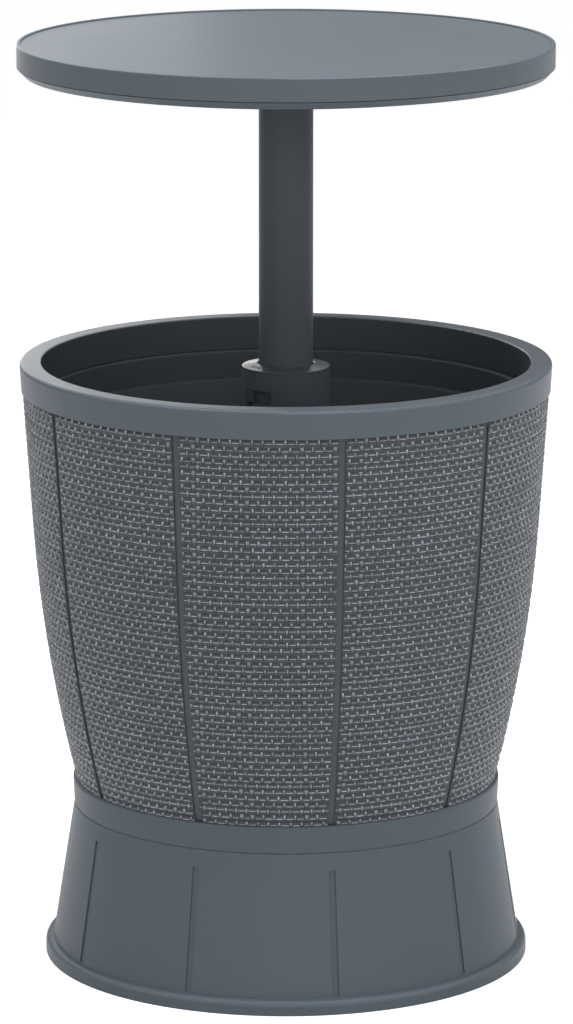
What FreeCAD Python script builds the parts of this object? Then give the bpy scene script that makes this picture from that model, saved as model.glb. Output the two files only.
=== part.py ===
"""A cooler table with a lid: a barrel with a double wall stands on a flared base, and a round tabletop on a
pole lifts out of it. The pole's foot carries two lugs that run in the slots of a central sleeve and lock at
the top and at the bottom when the tabletop is turned. Millimetres, +Z up, origin at the middle of the foot.
"""

import FreeCAD, Part
import math
import operator
import os
from collections import namedtuple

import Sketcher
from FreeCAD import Placement, Rotation, Vector

doc = FreeCAD.newDocument("CoolerTable")

# Driving sizes

SIZES = (
    # Base: foot lip, flared skirt, crease, collar and the deck that carries the barrel
    ("skirt_foot_radius", 218.2),
    ("skirt_wall", 3.4),
    ("foot_lip_width", 7.4),
    ("foot_lip_height", 12.9),
    ("foot_lip_round", 5),
    ("foot_lip_rise", 0.9),
    ("deck_height", 150),
    ("deck_thickness", 3.5),
    ("deck_width", 39.7),
    ("crease_drop", 6),
    ("crease_half_width", 0.9),
    ("crease_depth", 0.8),
    ("collar_rise", 19),
    ("collar_wall", 3.95),
    ("collar_lean", 1),
    ("collar_round", 2.2),
    # Grooves that divide the barrel and the skirt into panels
    ("panel_count", 10),
    ("panel_angle", -6),
    ("groove_width", 6.1),
    ("groove_depth", 1.5),
    ("skirt_groove_depth", 1.6),
    ("skirt_groove_foot_gap", 1.8),
    ("skirt_groove_top_gap", 15.7),
    # Barrel: a swelling lower part under a straight upper part
    ("shell_foot_radius", 189.7),
    ("shell_shoulder_inset", 8.3),
    ("shell_shoulder_height", 411.7),
    ("shell_top_radius", 241.2),
    ("shell_swell_radius", 1340),
    ("shell_wall", 4.6),
    ("shell_floor", 4),
    ("shell_rebate", 2.15),
    ("shell_socket_fit", 0.3),
    ("pedestal_margin", 4),
    ("pedestal_wall", 3.5),
    # Rim band over both walls, with a snap bead
    ("rim_height", 560.5),
    ("rim_band_height", 26.4),
    ("rim_foot_proud", 2.5),
    ("rim_proud", 3.95),
    ("rim_width", 19.85),
    ("rim_plate", 3.2),
    ("rim_round", 3.2),
    ("rim_inner_round", 1.5),
    ("rim_inner_wall", 3),
    ("rim_inner_depth", 31.5),
    ("rim_fit", 0.3),
    ("bead_drop", 16.5),
    ("bead_half_width", 1.2),
    ("bead_depth", 0.7),
    # Inner tub with its two ledges
    ("tub_wall", 2.8),
    ("tub_rise", 65),
    ("tub_floor_inset", 24.7),
    ("tub_floor_round", 16),
    ("tub_flange_thickness", 3.3),
    ("tub_ledge_drop", 32),
    ("tub_ledge_width", 2.6),
    ("tub_step_drop", 26.9),
    ("tub_step_width", 3.2),
    ("tub_step_draft", 0.5),
    ("tub_ledge_round", 2.4),
    # Sleeve, its cap and the bush that guides the pole
    ("sleeve_wall", 4.5),
    ("sleeve_top_drop", 7.7),
    ("sleeve_flange_width", 21.5),
    ("sleeve_flange_thickness", 5),
    ("sleeve_fillet", 3),
    ("cap_flange", 2.5),
    ("cap_round", 0.8),
    ("cap_crown", 2.6),
    ("cap_lip", 3),
    ("cap_mouth_gap", 0.7),
    ("cap_spigot", 14.8),
    ("cap_wall", 8.4),
    ("cap_fit", 0.1),
    ("bush_height", 8),
    ("bush_wall", 2.35),
    ("bush_flange", 1.2),
    ("bush_flange_width", 3.5),
    ("bush_fit", 0.05),
    # Slots with a turn at each end, and the lugs that run in them
    ("travel", 265),
    ("lug_count", 2),
    ("lug_angle", -145.3),
    ("lug_width", 8.1),
    ("lug_height", 11.2),
    ("lug_gap", 0.4),
    ("lug_inset", 0.9),
    ("bush_to_slot", 0.3),
    ("lock_angle", 28),
    ("lock_spare_angle", 7.5),
    # Pole, its foot and the brake ring
    ("pole_radius", 25),
    ("pole_wall", 3.5),
    ("pole_running_fit", 0.1),
    ("foot_cup_fit", 0.4),
    ("foot_cup_height", 46.1),
    ("foot_cup_floor", 4),
    ("socket_fit", 0.05),
    ("brake_offset", 8),
    ("brake_height", 6),
    ("brake_depth", 3.6),
    ("brake_gap", 0.3),
    ("brake_running_fit", 0.1),
    ("pin_radius", 2.5),
    ("pin_fit", 0.05),
    ("pin_recess", 1.2),
    ("foot_pin_rise", 24),
    # Hub under the tabletop
    ("hub_wall", 5.95),
    ("hub_drop", 20.4),
    ("hub_flange_width", 35),
    ("hub_flange_thickness", 5),
    ("hub_flange_drop", 6.4),
    ("hub_fillet", 2),
    ("hub_rib_count", 6),
    ("hub_rib_thickness", 2.5),
    ("hub_pin_rise", 4.5),
    ("hub_to_skin", 0.3),
    # Tabletop and the pan that closes it
    ("table_overhang", 3.95),
    ("table_side_height", 21.3),
    ("table_bead_width", 3.3),
    ("table_bead_height", 1.5),
    ("table_edge_round", 1.2),
    ("table_skin", 3),
    ("table_side_wall", 2.9),
    ("table_rib_thickness", 2),
    ("table_rib_depth", 8),
    ("pan_drop", 7.1),
    ("pan_inset", 3.65),
    ("pan_edge_inset", 1),
    ("pan_edge_lean", 5.8),
    ("pan_seam_gap", 0.8),
    ("pan_round", 2.5),
    ("pan_thickness", 2.5),
    ("pan_lap", 5.1),
    ("pan_bore_fit", 0.6),
    ("pan_rib_depth", 5),
    ("locating_rib_fit", 1.9),
    ("locating_rib_width", 2.4),
    ("locating_rib_depth", 2.2),
    ("closed_gap", 0.3),
    # Drain
    ("drain_circle", 120),
    ("drain_angle", 45),
    ("drain_bore_radius", 8),
    ("drain_wall", 2.5),
    ("drain_flange_width", 6.5),
    ("drain_flange_thickness", 3),
    ("drain_gasket_thickness", 1.2),
    ("drain_gasket_inset", 0.5),
    ("drain_tube_drop", 14),
    ("drain_hole_fit", 0.4),
    ("drain_thread_fit", 0.1),
    ("nut_height", 9),
    ("nut_width", 6.8),
    ("plug_fit", 0.3),
    ("plug_head_width", 4.5),
    ("plug_head_height", 4),
    ("plug_head_round", 1),
    ("plug_shank_length", 3),
    ("plug_tab_height", 15),
    ("plug_tab_half_width", 9),
    ("plug_tab_thickness", 3),
    ("plug_tab_round", 5),
    ("seal_cord_radius", 0.95),
    ("seal_gap", 0.05),
    ("seal_offset", 2.2),
    # Screws
    ("base_screw_count", 5),
    ("base_screw_inset", 17.7),
    ("base_screw_angle", 12),
    ("base_boss_height", 14),
    ("sleeve_screw_count", 4),
    ("sleeve_screw_offset", 10.5),
    ("hub_screw_count", 4),
    ("hub_screw_inset", 11),
    ("hub_screw_angle", 45),
    ("pan_screw_count", 8),
    ("pan_screw_inset", 40.15),
    ("pan_screw_angle", 22.5),
    ("pan_screw_recess", 3.6),
    ("pan_screw_web", 3.05),
    ("boss_radius", 6),
    ("screw_radius", 2),
    ("screw_hole_fit", 0.3),
    ("screw_bite_fit", 0.05),
    ("screw_head_radius", 3.9),
    ("screw_head_height", 2.6),
    ("screw_recess_fit", 0.4),
    ("screw_slot_length", 4.68),
    ("screw_slot_width", 1.2),
    ("screw_slot_depth", 1.2),
    ("base_screw_length", 16),
    ("sleeve_screw_length", 26),
    ("hub_screw_length", 10),
    ("pan_screw_length", 14),
    ("pilot_spare", 1),
)

OPERATIONS = {"+": operator.add, "-": operator.sub, "*": operator.mul, "/": operator.truediv}
RELIEF = 1  # how far a cutting outline or a rib reaches past the face it meets


class Size:
    """A number that also knows the sheet expression it comes from."""

    def __init__(self, number, text):
        self.number = number
        self.text = text

    def __add__(self, other):
        return joined(self, "+", other)

    def __radd__(self, other):
        return joined(other, "+", self)

    def __sub__(self, other):
        return joined(self, "-", other)

    def __rsub__(self, other):
        return joined(other, "-", self)

    def __mul__(self, other):
        return joined(self, "*", other)

    def __rmul__(self, other):
        return joined(other, "*", self)

    def __truediv__(self, other):
        return joined(self, "/", other)

    def __neg__(self):
        return joined(0, "-", self)


def as_size(value):
    return value if isinstance(value, Size) else Size(float(value), str(value))


def joined(left, sign, right):
    left = as_size(left)
    right = as_size(right)
    number = OPERATIONS[sign](left.number, right.number)
    return Size(number, f"({left.text} {sign} {right.text})")


def cosine(angle):
    return Size(math.cos(math.radians(angle.number)), f"cos({angle.text} * 1 deg)")


def sine(angle):
    return Size(math.sin(math.radians(angle.number)), f"sin({angle.text} * 1 deg)")


def root(size):
    return Size(math.sqrt(size.number), f"sqrt({size.text})")


def fill_sheet():
    """Writes the driving sizes into the sheet and returns them by name."""
    sheet = doc.addObject("Spreadsheet::Sheet", "Sizes")
    named = {}
    for row, (alias, number) in enumerate(SIZES, start=1):
        sheet.set(f"A{row}", alias)
        sheet.set(f"B{row}", str(number))
        sheet.setAlias(f"B{row}", alias)
        named[alias] = Size(float(number), f"Sizes.{alias}")
    doc.recompute()
    return namedtuple("Named", named)(**named)


S = fill_sheet()


def bind(thing, path, size):
    """Drives a property or a constraint from the sheet."""
    size = as_size(size)
    if "Sizes." in size.text:
        thing.setExpression(path, size.text)


# Sketches

Corner = namedtuple("Corner", "across up round swell", defaults=(None, None))


def origin_part(body, role):
    return next(part for part in body.Origin.OriginFeatures if part.Role == role)


def new_sketch(body, name, plane="XZ_Plane", height=None):
    sketch = body.newObject("Sketcher::SketchObject", name)
    sketch.AttachmentSupport = [(origin_part(body, plane), "")]
    sketch.MapMode = "FlatFace"
    if height is not None:
        sketch.AttachmentOffset = Placement(Vector(0, 0, as_size(height).number), Rotation())
        bind(sketch, "AttachmentOffset.Base.z", height)
    return sketch


def constrain(sketch, kind, *where, size=None):
    """Adds a constraint, driven from the sheet when it has a size."""
    if size is None:
        sketch.addConstraint(Sketcher.Constraint(kind, *where))
        return
    index = sketch.addConstraint(Sketcher.Constraint(kind, *where, as_size(size).number))
    bind(sketch, f"Constraints[{index}]", size)


def locate(sketch, shape, vertex, across, up):
    """Holds a vertex at its distances from the sketch's origin."""
    for kind, axis, distance in (("DistanceX", -2, as_size(across)), ("DistanceY", -1, as_size(up))):
        if abs(distance.number) < 1e-9:
            constrain(sketch, "PointOnObject", shape, vertex, axis)
        elif distance.number > 0:
            constrain(sketch, kind, -1, 1, shape, vertex, size=distance)
        else:
            constrain(sketch, kind, shape, vertex, -1, 1, size=-distance)


def add_arc(sketch, centre, radius, start, end):
    """Adds the shorter arc between two points: its index, and its vertex at the start and at the end."""
    circle = Part.Circle(centre, Vector(0, 0, 1), radius)
    first = math.atan2(start.y - centre.y, start.x - centre.x)
    last = math.atan2(end.y - centre.y, end.x - centre.x)
    turn = (last - first) % (2 * math.pi)
    if turn < math.pi:
        return sketch.addGeometry(Part.ArcOfCircle(circle, first, first + turn)), 1, 2
    return sketch.addGeometry(Part.ArcOfCircle(circle, last, last + 2 * math.pi - turn)), 2, 1


def rounding(before, here, after, radius):
    """Tangent points and centre of the arc that rounds the corner between two straight sides."""
    back = (before - here).normalize()
    forward = (after - here).normalize()
    half = back.getAngle(forward) / 2
    reach = radius / math.tan(half)
    middle = (back + forward).normalize() * (radius / math.sin(half))
    return here + back * reach, here + forward * reach, here + middle


def swell_centre(start, end, radius):
    """Centre of a side that bulges to the right of its way, or to the left when its radius is negative."""
    chord = end - start
    left = Vector(-chord.y, chord.x, 0).normalize()
    rise = math.sqrt(radius**2 - (chord.Length / 2) ** 2)
    return (start + end) / 2 + left * math.copysign(rise, radius)


def draw_outline(sketch, corners):
    """A closed outline through the corners. Its sides are straight, or arcs where a corner has a swell."""
    corners = [Corner(*corner) for corner in corners]
    places = [Vector(as_size(c.across).number, as_size(c.up).number, 0) for c in corners]
    count = len(corners)
    arrive = list(places)
    leave = list(places)
    centres = {}
    for i, corner in enumerate(corners):
        if corner.round is not None:
            radius = as_size(corner.round).number
            around = rounding(places[i - 1], places[i], places[(i + 1) % count], radius)
            arrive[i], leave[i], centres[i] = around
    sides = []
    for i, corner in enumerate(corners):
        start = leave[i]
        end = arrive[(i + 1) % count]
        if corner.swell is None:
            sides.append((sketch.addGeometry(Part.LineSegment(start, end)), 1, 2))
        else:
            radius = as_size(corner.swell).number
            sides.append(add_arc(sketch, swell_centre(start, end, radius), abs(radius), start, end))
            size = corner.swell if radius > 0 else -corner.swell
            constrain(sketch, "Radius", sides[-1][0], size=size)
    for i, corner in enumerate(corners):
        side_in, _, end_in = sides[i - 1]
        side_out, start_out, _ = sides[i]
        if corner.round is None:
            constrain(sketch, "Coincident", side_in, end_in, side_out, start_out)
            locate(sketch, side_out, start_out, corner.across, corner.up)
            continue
        radius = as_size(corner.round).number
        arc, first, last = add_arc(sketch, centres[i], radius, arrive[i], leave[i])
        point = sketch.addGeometry(Part.Point(places[i]), True)
        constrain(sketch, "Tangent", side_in, end_in, arc, first)
        constrain(sketch, "Tangent", arc, last, side_out, start_out)
        constrain(sketch, "Radius", arc, size=corner.round)
        constrain(sketch, "PointOnObject", point, 1, side_in)
        constrain(sketch, "PointOnObject", point, 1, side_out)
        locate(sketch, point, 1, corner.across, corner.up)


def draw_circle(sketch, across, up, radius):
    centre = Vector(as_size(across).number, as_size(up).number, 0)
    circle = sketch.addGeometry(Part.Circle(centre, Vector(0, 0, 1), as_size(radius).number))
    constrain(sketch, "Radius", circle, size=radius)
    locate(sketch, circle, 3, across, up)


# Features

pieces = []


def new_piece(label, turn=None):
    """A body for one node, turned about the object's axis."""
    body = doc.addObject("PartDesign::Body", label)
    body.Label = label
    if turn is not None:
        body.Placement = Placement(Vector(), Rotation(Vector(0, 0, 1), turn.number))
        bind(body, "Placement.Rotation.Angle", turn)
    pieces.append(body)
    return body


def move_to_drain(body):
    """Stands a piece that was drawn about its own axis over the drain."""
    across = S.drain_circle * cosine(S.drain_angle)
    along = S.drain_circle * sine(S.drain_angle)
    body.Placement = Placement(Vector(across.number, along.number, 0), Rotation())
    bind(body, "Placement.Base.x", across)
    bind(body, "Placement.Base.y", along)


def turned(body, name, corners, kind="PartDesign::Revolution", angle=360):
    """Turns an outline about the Z axis, to add it or, as a Groove, to cut it."""
    sketch = new_sketch(body, name + "Outline")
    draw_outline(sketch, corners)
    feature = body.newObject(kind, name)
    feature.Profile = (sketch, [""])
    feature.ReferenceAxis = (sketch, ["V_Axis"])
    feature.Angle = as_size(angle).number
    bind(feature, "Angle", angle)
    body.Tip = feature
    return feature


def slab(body, name, corners, thickness, kind="PartDesign::Pad"):
    """An upright slab drawn from the side, half its thickness each way, to add or, as a Pocket, to cut."""
    sketch = new_sketch(body, name + "Outline")
    draw_outline(sketch, corners)
    feature = body.newObject(kind, name)
    feature.Profile = (sketch, [""])
    feature.SideType = "Symmetric"
    feature.Length = as_size(thickness).number
    bind(feature, "Length", thickness)
    body.Tip = feature
    return feature


def upright(body, name, circle, radius, foot, top, angle=0, kind="PartDesign::Pad"):
    """A post between two heights on a circle about the axis, or a hole where the kind is a Pocket."""
    angle = as_size(angle)
    sketch = new_sketch(body, name + "Outline", "XY_Plane", foot)
    draw_circle(sketch, circle * cosine(angle), circle * sine(angle), radius)
    feature = body.newObject(kind, name)
    feature.Profile = (sketch, [""])
    feature.Reversed = kind == "PartDesign::Pocket"
    feature.Length = (top - foot).number
    bind(feature, "Length", top - foot)
    body.Tip = feature
    return feature


def cross_hole(body, name, height, radius, housing_radius):
    """A hole along Y, right through a round housing."""
    sketch = new_sketch(body, name + "Outline")
    draw_circle(sketch, 0, height, radius)
    feature = body.newObject("PartDesign::Pocket", name)
    feature.Profile = (sketch, [""])
    feature.SideType = "Symmetric"
    length = 2 * (housing_radius + RELIEF)
    feature.Length = length.number
    bind(feature, "Length", length)
    body.Tip = feature
    return feature


def repeat(body, name, features, count):
    """Repeats features evenly around the Z axis."""
    pattern = body.newObject("PartDesign::PolarPattern", name)
    pattern.Originals = features
    pattern.Axis = (origin_part(body, "Z_Axis"), [""])
    pattern.Angle = 360
    pattern.Occurrences = round(as_size(count).number)
    bind(pattern, "Occurrences", count)
    body.Tip = pattern
    return pattern


def between(height, low, low_radius, high, high_radius):
    """Radius of a straight wall at a height."""
    return low_radius + (high_radius - low_radius) * (height - low) / (high - low)


# Places that several pieces share

# Barrel and base
shell_shoulder_radius = S.shell_top_radius - S.shell_shoulder_inset
collar_height = S.deck_height + S.collar_rise
crease_height = S.deck_height - S.crease_drop
skirt_foot = S.foot_lip_height + S.foot_lip_rise
skirt_groove_bottom = skirt_foot + S.skirt_groove_foot_gap
skirt_groove_top = crease_height - S.skirt_groove_top_gap
foot_radius = S.skirt_foot_radius + S.foot_lip_width
deck_underside = S.deck_height - S.deck_thickness
deck_bore_radius = S.shell_foot_radius - S.deck_width
base_screw_circle = S.shell_foot_radius - S.base_screw_inset
shell_floor_top = S.deck_height + S.shell_floor

# Rim and tub
rim_underside = S.rim_height - S.rim_plate
rim_band_bottom = S.rim_height - S.rim_band_height
rim_inner_bottom = S.rim_height - S.rim_inner_depth
rim_foot_radius = S.shell_top_radius + S.rim_foot_proud
rim_radius = S.shell_top_radius + S.rim_proud
rim_bore_radius = rim_radius - S.rim_width
bead_height = S.rim_height - S.bead_drop
rebate_bottom = rim_band_bottom - S.rim_fit
rebate_radius = S.shell_top_radius - S.shell_rebate
shell_top = rim_underside - S.tub_flange_thickness
tub_floor_height = S.deck_height + S.tub_rise
tub_floor_radius = S.shell_foot_radius - S.tub_floor_inset
tub_underside = tub_floor_height - S.tub_wall
tub_neck_radius = rim_bore_radius + S.rim_inner_wall + S.rim_fit
tub_ledge_height = S.rim_height - S.tub_ledge_drop
tub_ledge_radius = rim_bore_radius - S.tub_ledge_width
tub_step_height = tub_ledge_height - S.tub_step_drop
tub_step_radius = tub_ledge_radius - S.tub_step_width

# Pole, sleeve and lugs
socket_radius = S.pole_radius + S.socket_fit
bush_bore = S.pole_radius + S.pole_running_fit
cap_bore_radius = bush_bore + S.bush_wall + S.bush_fit
bush_flange_radius = cap_bore_radius + S.bush_flange_width
sleeve_bore_radius = cap_bore_radius + S.cap_wall + S.cap_fit
sleeve_radius = sleeve_bore_radius + S.sleeve_wall
sleeve_flange_radius = sleeve_radius + S.sleeve_flange_width
sleeve_flange_top = tub_floor_height + S.sleeve_flange_thickness
sleeve_screw_circle = sleeve_radius + S.sleeve_screw_offset
pedestal_radius = sleeve_flange_radius + S.pedestal_margin
sleeve_top = S.rim_height - S.sleeve_top_drop
spigot_bottom = sleeve_top - S.cap_spigot
bush_bottom = spigot_bottom - S.bush_flange
slot_top = bush_bottom - S.bush_to_slot
slot_width = S.lug_width + 2 * S.lug_gap
lug_top = slot_top - S.lug_gap
lug_bottom = lug_top - S.lug_height
lug_radius = sleeve_radius - S.lug_inset
foot_cup_radius = sleeve_bore_radius - S.foot_cup_fit
foot_bottom = lug_top - S.foot_cup_height
brake_bottom = foot_bottom + S.brake_offset
foot_pin_height = foot_bottom + S.foot_pin_rise
pin_hole_radius = S.pin_radius + S.pin_fit

# Tabletop, which closes flush with the rim
table_radius = S.shell_top_radius + S.table_overhang
pan_bottom = S.rim_height + S.closed_gap + S.travel
pan_top = pan_bottom + S.pan_thickness
pan_radius = table_radius - S.pan_inset
pan_edge_radius = table_radius - S.pan_edge_inset
pan_screw_circle = table_radius - S.pan_screw_inset
table_seam_height = pan_bottom + S.pan_drop
table_height = table_seam_height + S.table_side_height
skin_top = table_height - S.table_bead_height
skin_underside = skin_top - S.table_skin
hub_radius = socket_radius + S.hub_wall
hub_top = skin_underside - S.hub_to_skin
hub_bottom = hub_top - S.hub_drop
hub_flange_radius = hub_radius + S.hub_flange_width
hub_flange_top = hub_top - S.hub_flange_drop
hub_flange_underside = hub_flange_top - S.hub_flange_thickness
hub_screw_circle = hub_flange_radius - S.hub_screw_inset
hub_pin_height = hub_bottom + S.hub_pin_rise
pan_boss_top = table_seam_height + S.pan_screw_recess
pan_screw_seat = pan_boss_top - S.pan_screw_web
locating_rib_radius = rim_bore_radius - S.locating_rib_fit

# Drain and screws
drain_tube_radius = S.drain_bore_radius + S.drain_wall
drain_flange_radius = drain_tube_radius + S.drain_flange_width
drain_flange_bottom = tub_floor_height + S.drain_gasket_thickness
drain_flange_top = drain_flange_bottom + S.drain_flange_thickness
drain_tube_bottom = S.deck_height - S.drain_tube_drop
drain_hole_radius = drain_tube_radius + S.drain_hole_fit
nut_radius = drain_tube_radius + S.nut_width
plug_head_radius = S.drain_bore_radius + S.plug_head_width
plug_head_bottom = drain_flange_top + S.plug_fit
seal_ring_radius = S.drain_bore_radius + S.seal_offset
seal_height = drain_flange_top + S.seal_gap + S.seal_cord_radius
clear_radius = S.screw_radius + S.screw_hole_fit
bite_radius = S.screw_radius + S.screw_bite_fit
shell_screw_angle = S.base_screw_angle - S.panel_angle
sleeve_screw_in_shell = S.lug_angle - S.panel_angle
drain_in_shell = S.drain_angle - S.panel_angle


def swell_radius(height):
    """Outer radius of the barrel below its shoulder, where its side is an arc."""
    across = shell_shoulder_radius - S.shell_foot_radius
    up = S.shell_shoulder_height - S.deck_height
    chord = root(across * across + up * up)
    rise = root(S.shell_swell_radius * S.shell_swell_radius - chord * chord / 4)
    centre_across = (shell_shoulder_radius + S.shell_foot_radius) / 2 - up * rise / chord
    centre_up = (S.shell_shoulder_height + S.deck_height) / 2 + across * rise / chord
    above = height - centre_up
    return centre_across + root(S.shell_swell_radius * S.shell_swell_radius - above * above)


socket_top_radius = swell_radius(collar_height) + S.shell_socket_fit
collar_radius = socket_top_radius + S.collar_wall
skirt_top_radius = collar_radius - S.collar_lean


def skirt_radius(height):
    return between(height, skirt_foot, S.skirt_foot_radius, crease_height, skirt_top_radius)


def make_base():
    base = new_piece("base_skirt", S.panel_angle)
    inner_radius = skirt_top_radius - S.skirt_wall
    turned(base, "Skirt", (
        (foot_radius, 0),
        (foot_radius, S.foot_lip_height, S.foot_lip_round),
        (S.skirt_foot_radius, skirt_foot),
        (skirt_top_radius, crease_height - S.crease_half_width),
        (skirt_top_radius - S.crease_depth, crease_height),
        (skirt_top_radius, crease_height + S.crease_half_width),
        (collar_radius, collar_height, S.collar_round),
        (socket_top_radius, collar_height),
        (S.shell_foot_radius + S.shell_socket_fit, S.deck_height),
        (deck_bore_radius, S.deck_height),
        (deck_bore_radius, deck_underside),
        (inner_radius, deck_underside),
        (inner_radius, crease_height),
        (S.skirt_foot_radius - S.skirt_wall, skirt_foot),
        (foot_radius - S.skirt_wall, S.foot_lip_height - S.skirt_wall),
        (foot_radius - S.skirt_wall, 0),
    ))
    slot = slab(base, "SkirtGroove", (
        (skirt_radius(skirt_groove_bottom) - S.skirt_groove_depth, skirt_groove_bottom),
        (foot_radius + RELIEF, skirt_groove_bottom),
        (foot_radius + RELIEF, skirt_groove_top),
        (skirt_radius(skirt_groove_top) - S.skirt_groove_depth, skirt_groove_top),
    ), S.groove_width, "PartDesign::Pocket")
    repeat(base, "SkirtGrooves", [slot], S.panel_count)
    hole = upright(
        base, "DeckHole", base_screw_circle, clear_radius,
        deck_underside - RELIEF, S.deck_height + RELIEF, shell_screw_angle, "PartDesign::Pocket",
    )
    repeat(base, "DeckHoles", [hole], S.base_screw_count)


def make_outer_shell():
    shell = new_piece("outer_shell", S.panel_angle)
    bead_radius = rebate_radius - S.bead_depth
    turned(shell, "Barrel", (
        (0, S.deck_height),
        (S.shell_foot_radius, S.deck_height, None, S.shell_swell_radius),
        (shell_shoulder_radius, S.shell_shoulder_height),
        (S.shell_top_radius, rebate_bottom),
        (rebate_radius, rebate_bottom),
        (rebate_radius, bead_height - S.bead_half_width),
        (bead_radius, bead_height),
        (rebate_radius, bead_height + S.bead_half_width),
        (rebate_radius, shell_top),
        (S.shell_top_radius - S.shell_wall, shell_top),
        (S.shell_top_radius - S.shell_wall, rebate_bottom),
        (shell_shoulder_radius - S.shell_wall, S.shell_shoulder_height, None, -S.shell_swell_radius),
        (S.shell_foot_radius - S.shell_wall, shell_floor_top),
        (pedestal_radius, shell_floor_top),
        (pedestal_radius, tub_underside),
        (pedestal_radius - S.pedestal_wall, tub_underside),
        (pedestal_radius - S.pedestal_wall, shell_floor_top),
        (0, shell_floor_top),
    ))
    groove = slab(shell, "PanelGroove", (
        (S.shell_foot_radius - S.groove_depth, S.deck_height, None, S.shell_swell_radius),
        (shell_shoulder_radius - S.groove_depth, S.shell_shoulder_height),
        (S.shell_top_radius - S.groove_depth, rebate_bottom),
        (S.shell_top_radius + RELIEF, rebate_bottom),
        (S.shell_top_radius + RELIEF, S.deck_height),
    ), S.groove_width, "PartDesign::Pocket")
    repeat(shell, "PanelGrooves", [groove], S.panel_count)
    boss_top = shell_floor_top + S.base_boss_height
    boss = upright(
        shell, "BaseBoss", base_screw_circle, S.boss_radius, shell_floor_top - RELIEF, boss_top,
        shell_screw_angle,
    )
    pilot = upright(
        shell, "BasePilot", base_screw_circle, bite_radius, S.deck_height - RELIEF,
        deck_underside + S.base_screw_length + S.pilot_spare, shell_screw_angle, "PartDesign::Pocket",
    )
    repeat(shell, "BaseBosses", [boss, pilot], S.base_screw_count)
    post = upright(
        shell, "SleevePost", sleeve_screw_circle, S.boss_radius, shell_floor_top - RELIEF, tub_underside,
        sleeve_screw_in_shell,
    )
    bore = upright(
        shell, "SleevePilot", sleeve_screw_circle, bite_radius,
        sleeve_flange_top - S.sleeve_screw_length - S.pilot_spare, tub_underside + RELIEF,
        sleeve_screw_in_shell, "PartDesign::Pocket",
    )
    repeat(shell, "SleevePosts", [post, bore], S.sleeve_screw_count)
    upright(
        shell, "DrainHole", S.drain_circle, drain_hole_radius, S.deck_height - RELIEF,
        shell_floor_top + RELIEF, drain_in_shell, "PartDesign::Pocket",
    )


def make_inner_tub():
    tub = new_piece("inner_tub")
    flange_radius = rebate_radius - S.rim_fit
    step_top_radius = tub_ledge_radius - S.tub_step_draft
    turned(tub, "Tub", (
        (0, tub_underside),
        (tub_floor_radius + S.tub_wall, tub_underside, S.tub_floor_round + S.tub_wall),
        (tub_step_radius + S.tub_wall, tub_step_height - S.tub_wall),
        (step_top_radius + S.tub_wall, tub_step_height - S.tub_wall),
        (tub_ledge_radius + S.tub_wall, tub_ledge_height - S.tub_wall),
        (tub_neck_radius + S.tub_wall, tub_ledge_height - S.tub_wall),
        (tub_neck_radius + S.tub_wall, shell_top),
        (flange_radius, shell_top),
        (flange_radius, rim_underside),
        (tub_neck_radius, rim_underside),
        (tub_neck_radius, tub_ledge_height),
        (tub_ledge_radius, tub_ledge_height, S.tub_ledge_round),
        (step_top_radius, tub_step_height),
        (tub_step_radius, tub_step_height, S.tub_ledge_round),
        (tub_floor_radius, tub_floor_height, S.tub_floor_round),
        (0, tub_floor_height),
    ))
    hole = upright(
        tub, "SleeveScrewHole", sleeve_screw_circle, clear_radius, tub_underside - RELIEF,
        tub_floor_height + RELIEF, S.lug_angle, "PartDesign::Pocket",
    )
    repeat(tub, "SleeveScrewHoles", [hole], S.sleeve_screw_count)
    upright(
        tub, "DrainHole", S.drain_circle, drain_hole_radius, tub_underside - RELIEF,
        tub_floor_height + RELIEF, S.drain_angle, "PartDesign::Pocket",
    )


def make_rim_ring():
    rim = new_piece("rim_ring")
    inside = rebate_radius + S.rim_fit
    turned(rim, "Band", (
        (rim_foot_radius, rim_band_bottom),
        (rim_radius, S.rim_height, S.rim_round),
        (rim_bore_radius, S.rim_height, S.rim_inner_round),
        (rim_bore_radius, rim_inner_bottom),
        (rim_bore_radius + S.rim_inner_wall, rim_inner_bottom),
        (rim_bore_radius + S.rim_inner_wall, rim_underside),
        (inside, rim_underside),
        (inside, bead_height + S.bead_half_width),
        (inside - S.bead_depth, bead_height),
        (inside, bead_height - S.bead_half_width),
        (inside, rim_band_bottom),
    ))


def make_sleeve():
    sleeve = new_piece("centre_sleeve", S.lug_angle)
    turned(sleeve, "Tube", (
        (sleeve_bore_radius, tub_floor_height),
        (sleeve_flange_radius, tub_floor_height),
        (sleeve_flange_radius, sleeve_flange_top),
        (sleeve_radius, sleeve_flange_top, S.sleeve_fillet),
        (sleeve_radius, sleeve_top),
        (sleeve_bore_radius, sleeve_top),
    ))
    inside = sleeve_bore_radius - RELIEF
    outside = sleeve_radius + RELIEF
    leg_height = S.lug_height + 2 * S.lug_gap
    slot_bottom = slot_top - S.travel - leg_height
    cuts = [slab(sleeve, "RunSlot", (
        (inside, slot_bottom),
        (outside, slot_bottom),
        (outside, slot_top),
        (inside, slot_top),
    ), slot_width, "PartDesign::Pocket")]
    for name, top in (("RaisedLock", slot_top), ("ClosedLock", slot_bottom + leg_height)):
        cuts.append(turned(sleeve, name, (
            (inside, top - leg_height),
            (outside, top - leg_height),
            (outside, top),
            (inside, top),
        ), "PartDesign::Groove", S.lock_angle + S.lock_spare_angle))
    repeat(sleeve, "Slots", cuts, S.lug_count)
    hole = upright(
        sleeve, "FlangeHole", sleeve_screw_circle, clear_radius, tub_floor_height - RELIEF,
        sleeve_flange_top + RELIEF, 0, "PartDesign::Pocket",
    )
    repeat(sleeve, "FlangeHoles", [hole], S.sleeve_screw_count)


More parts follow.
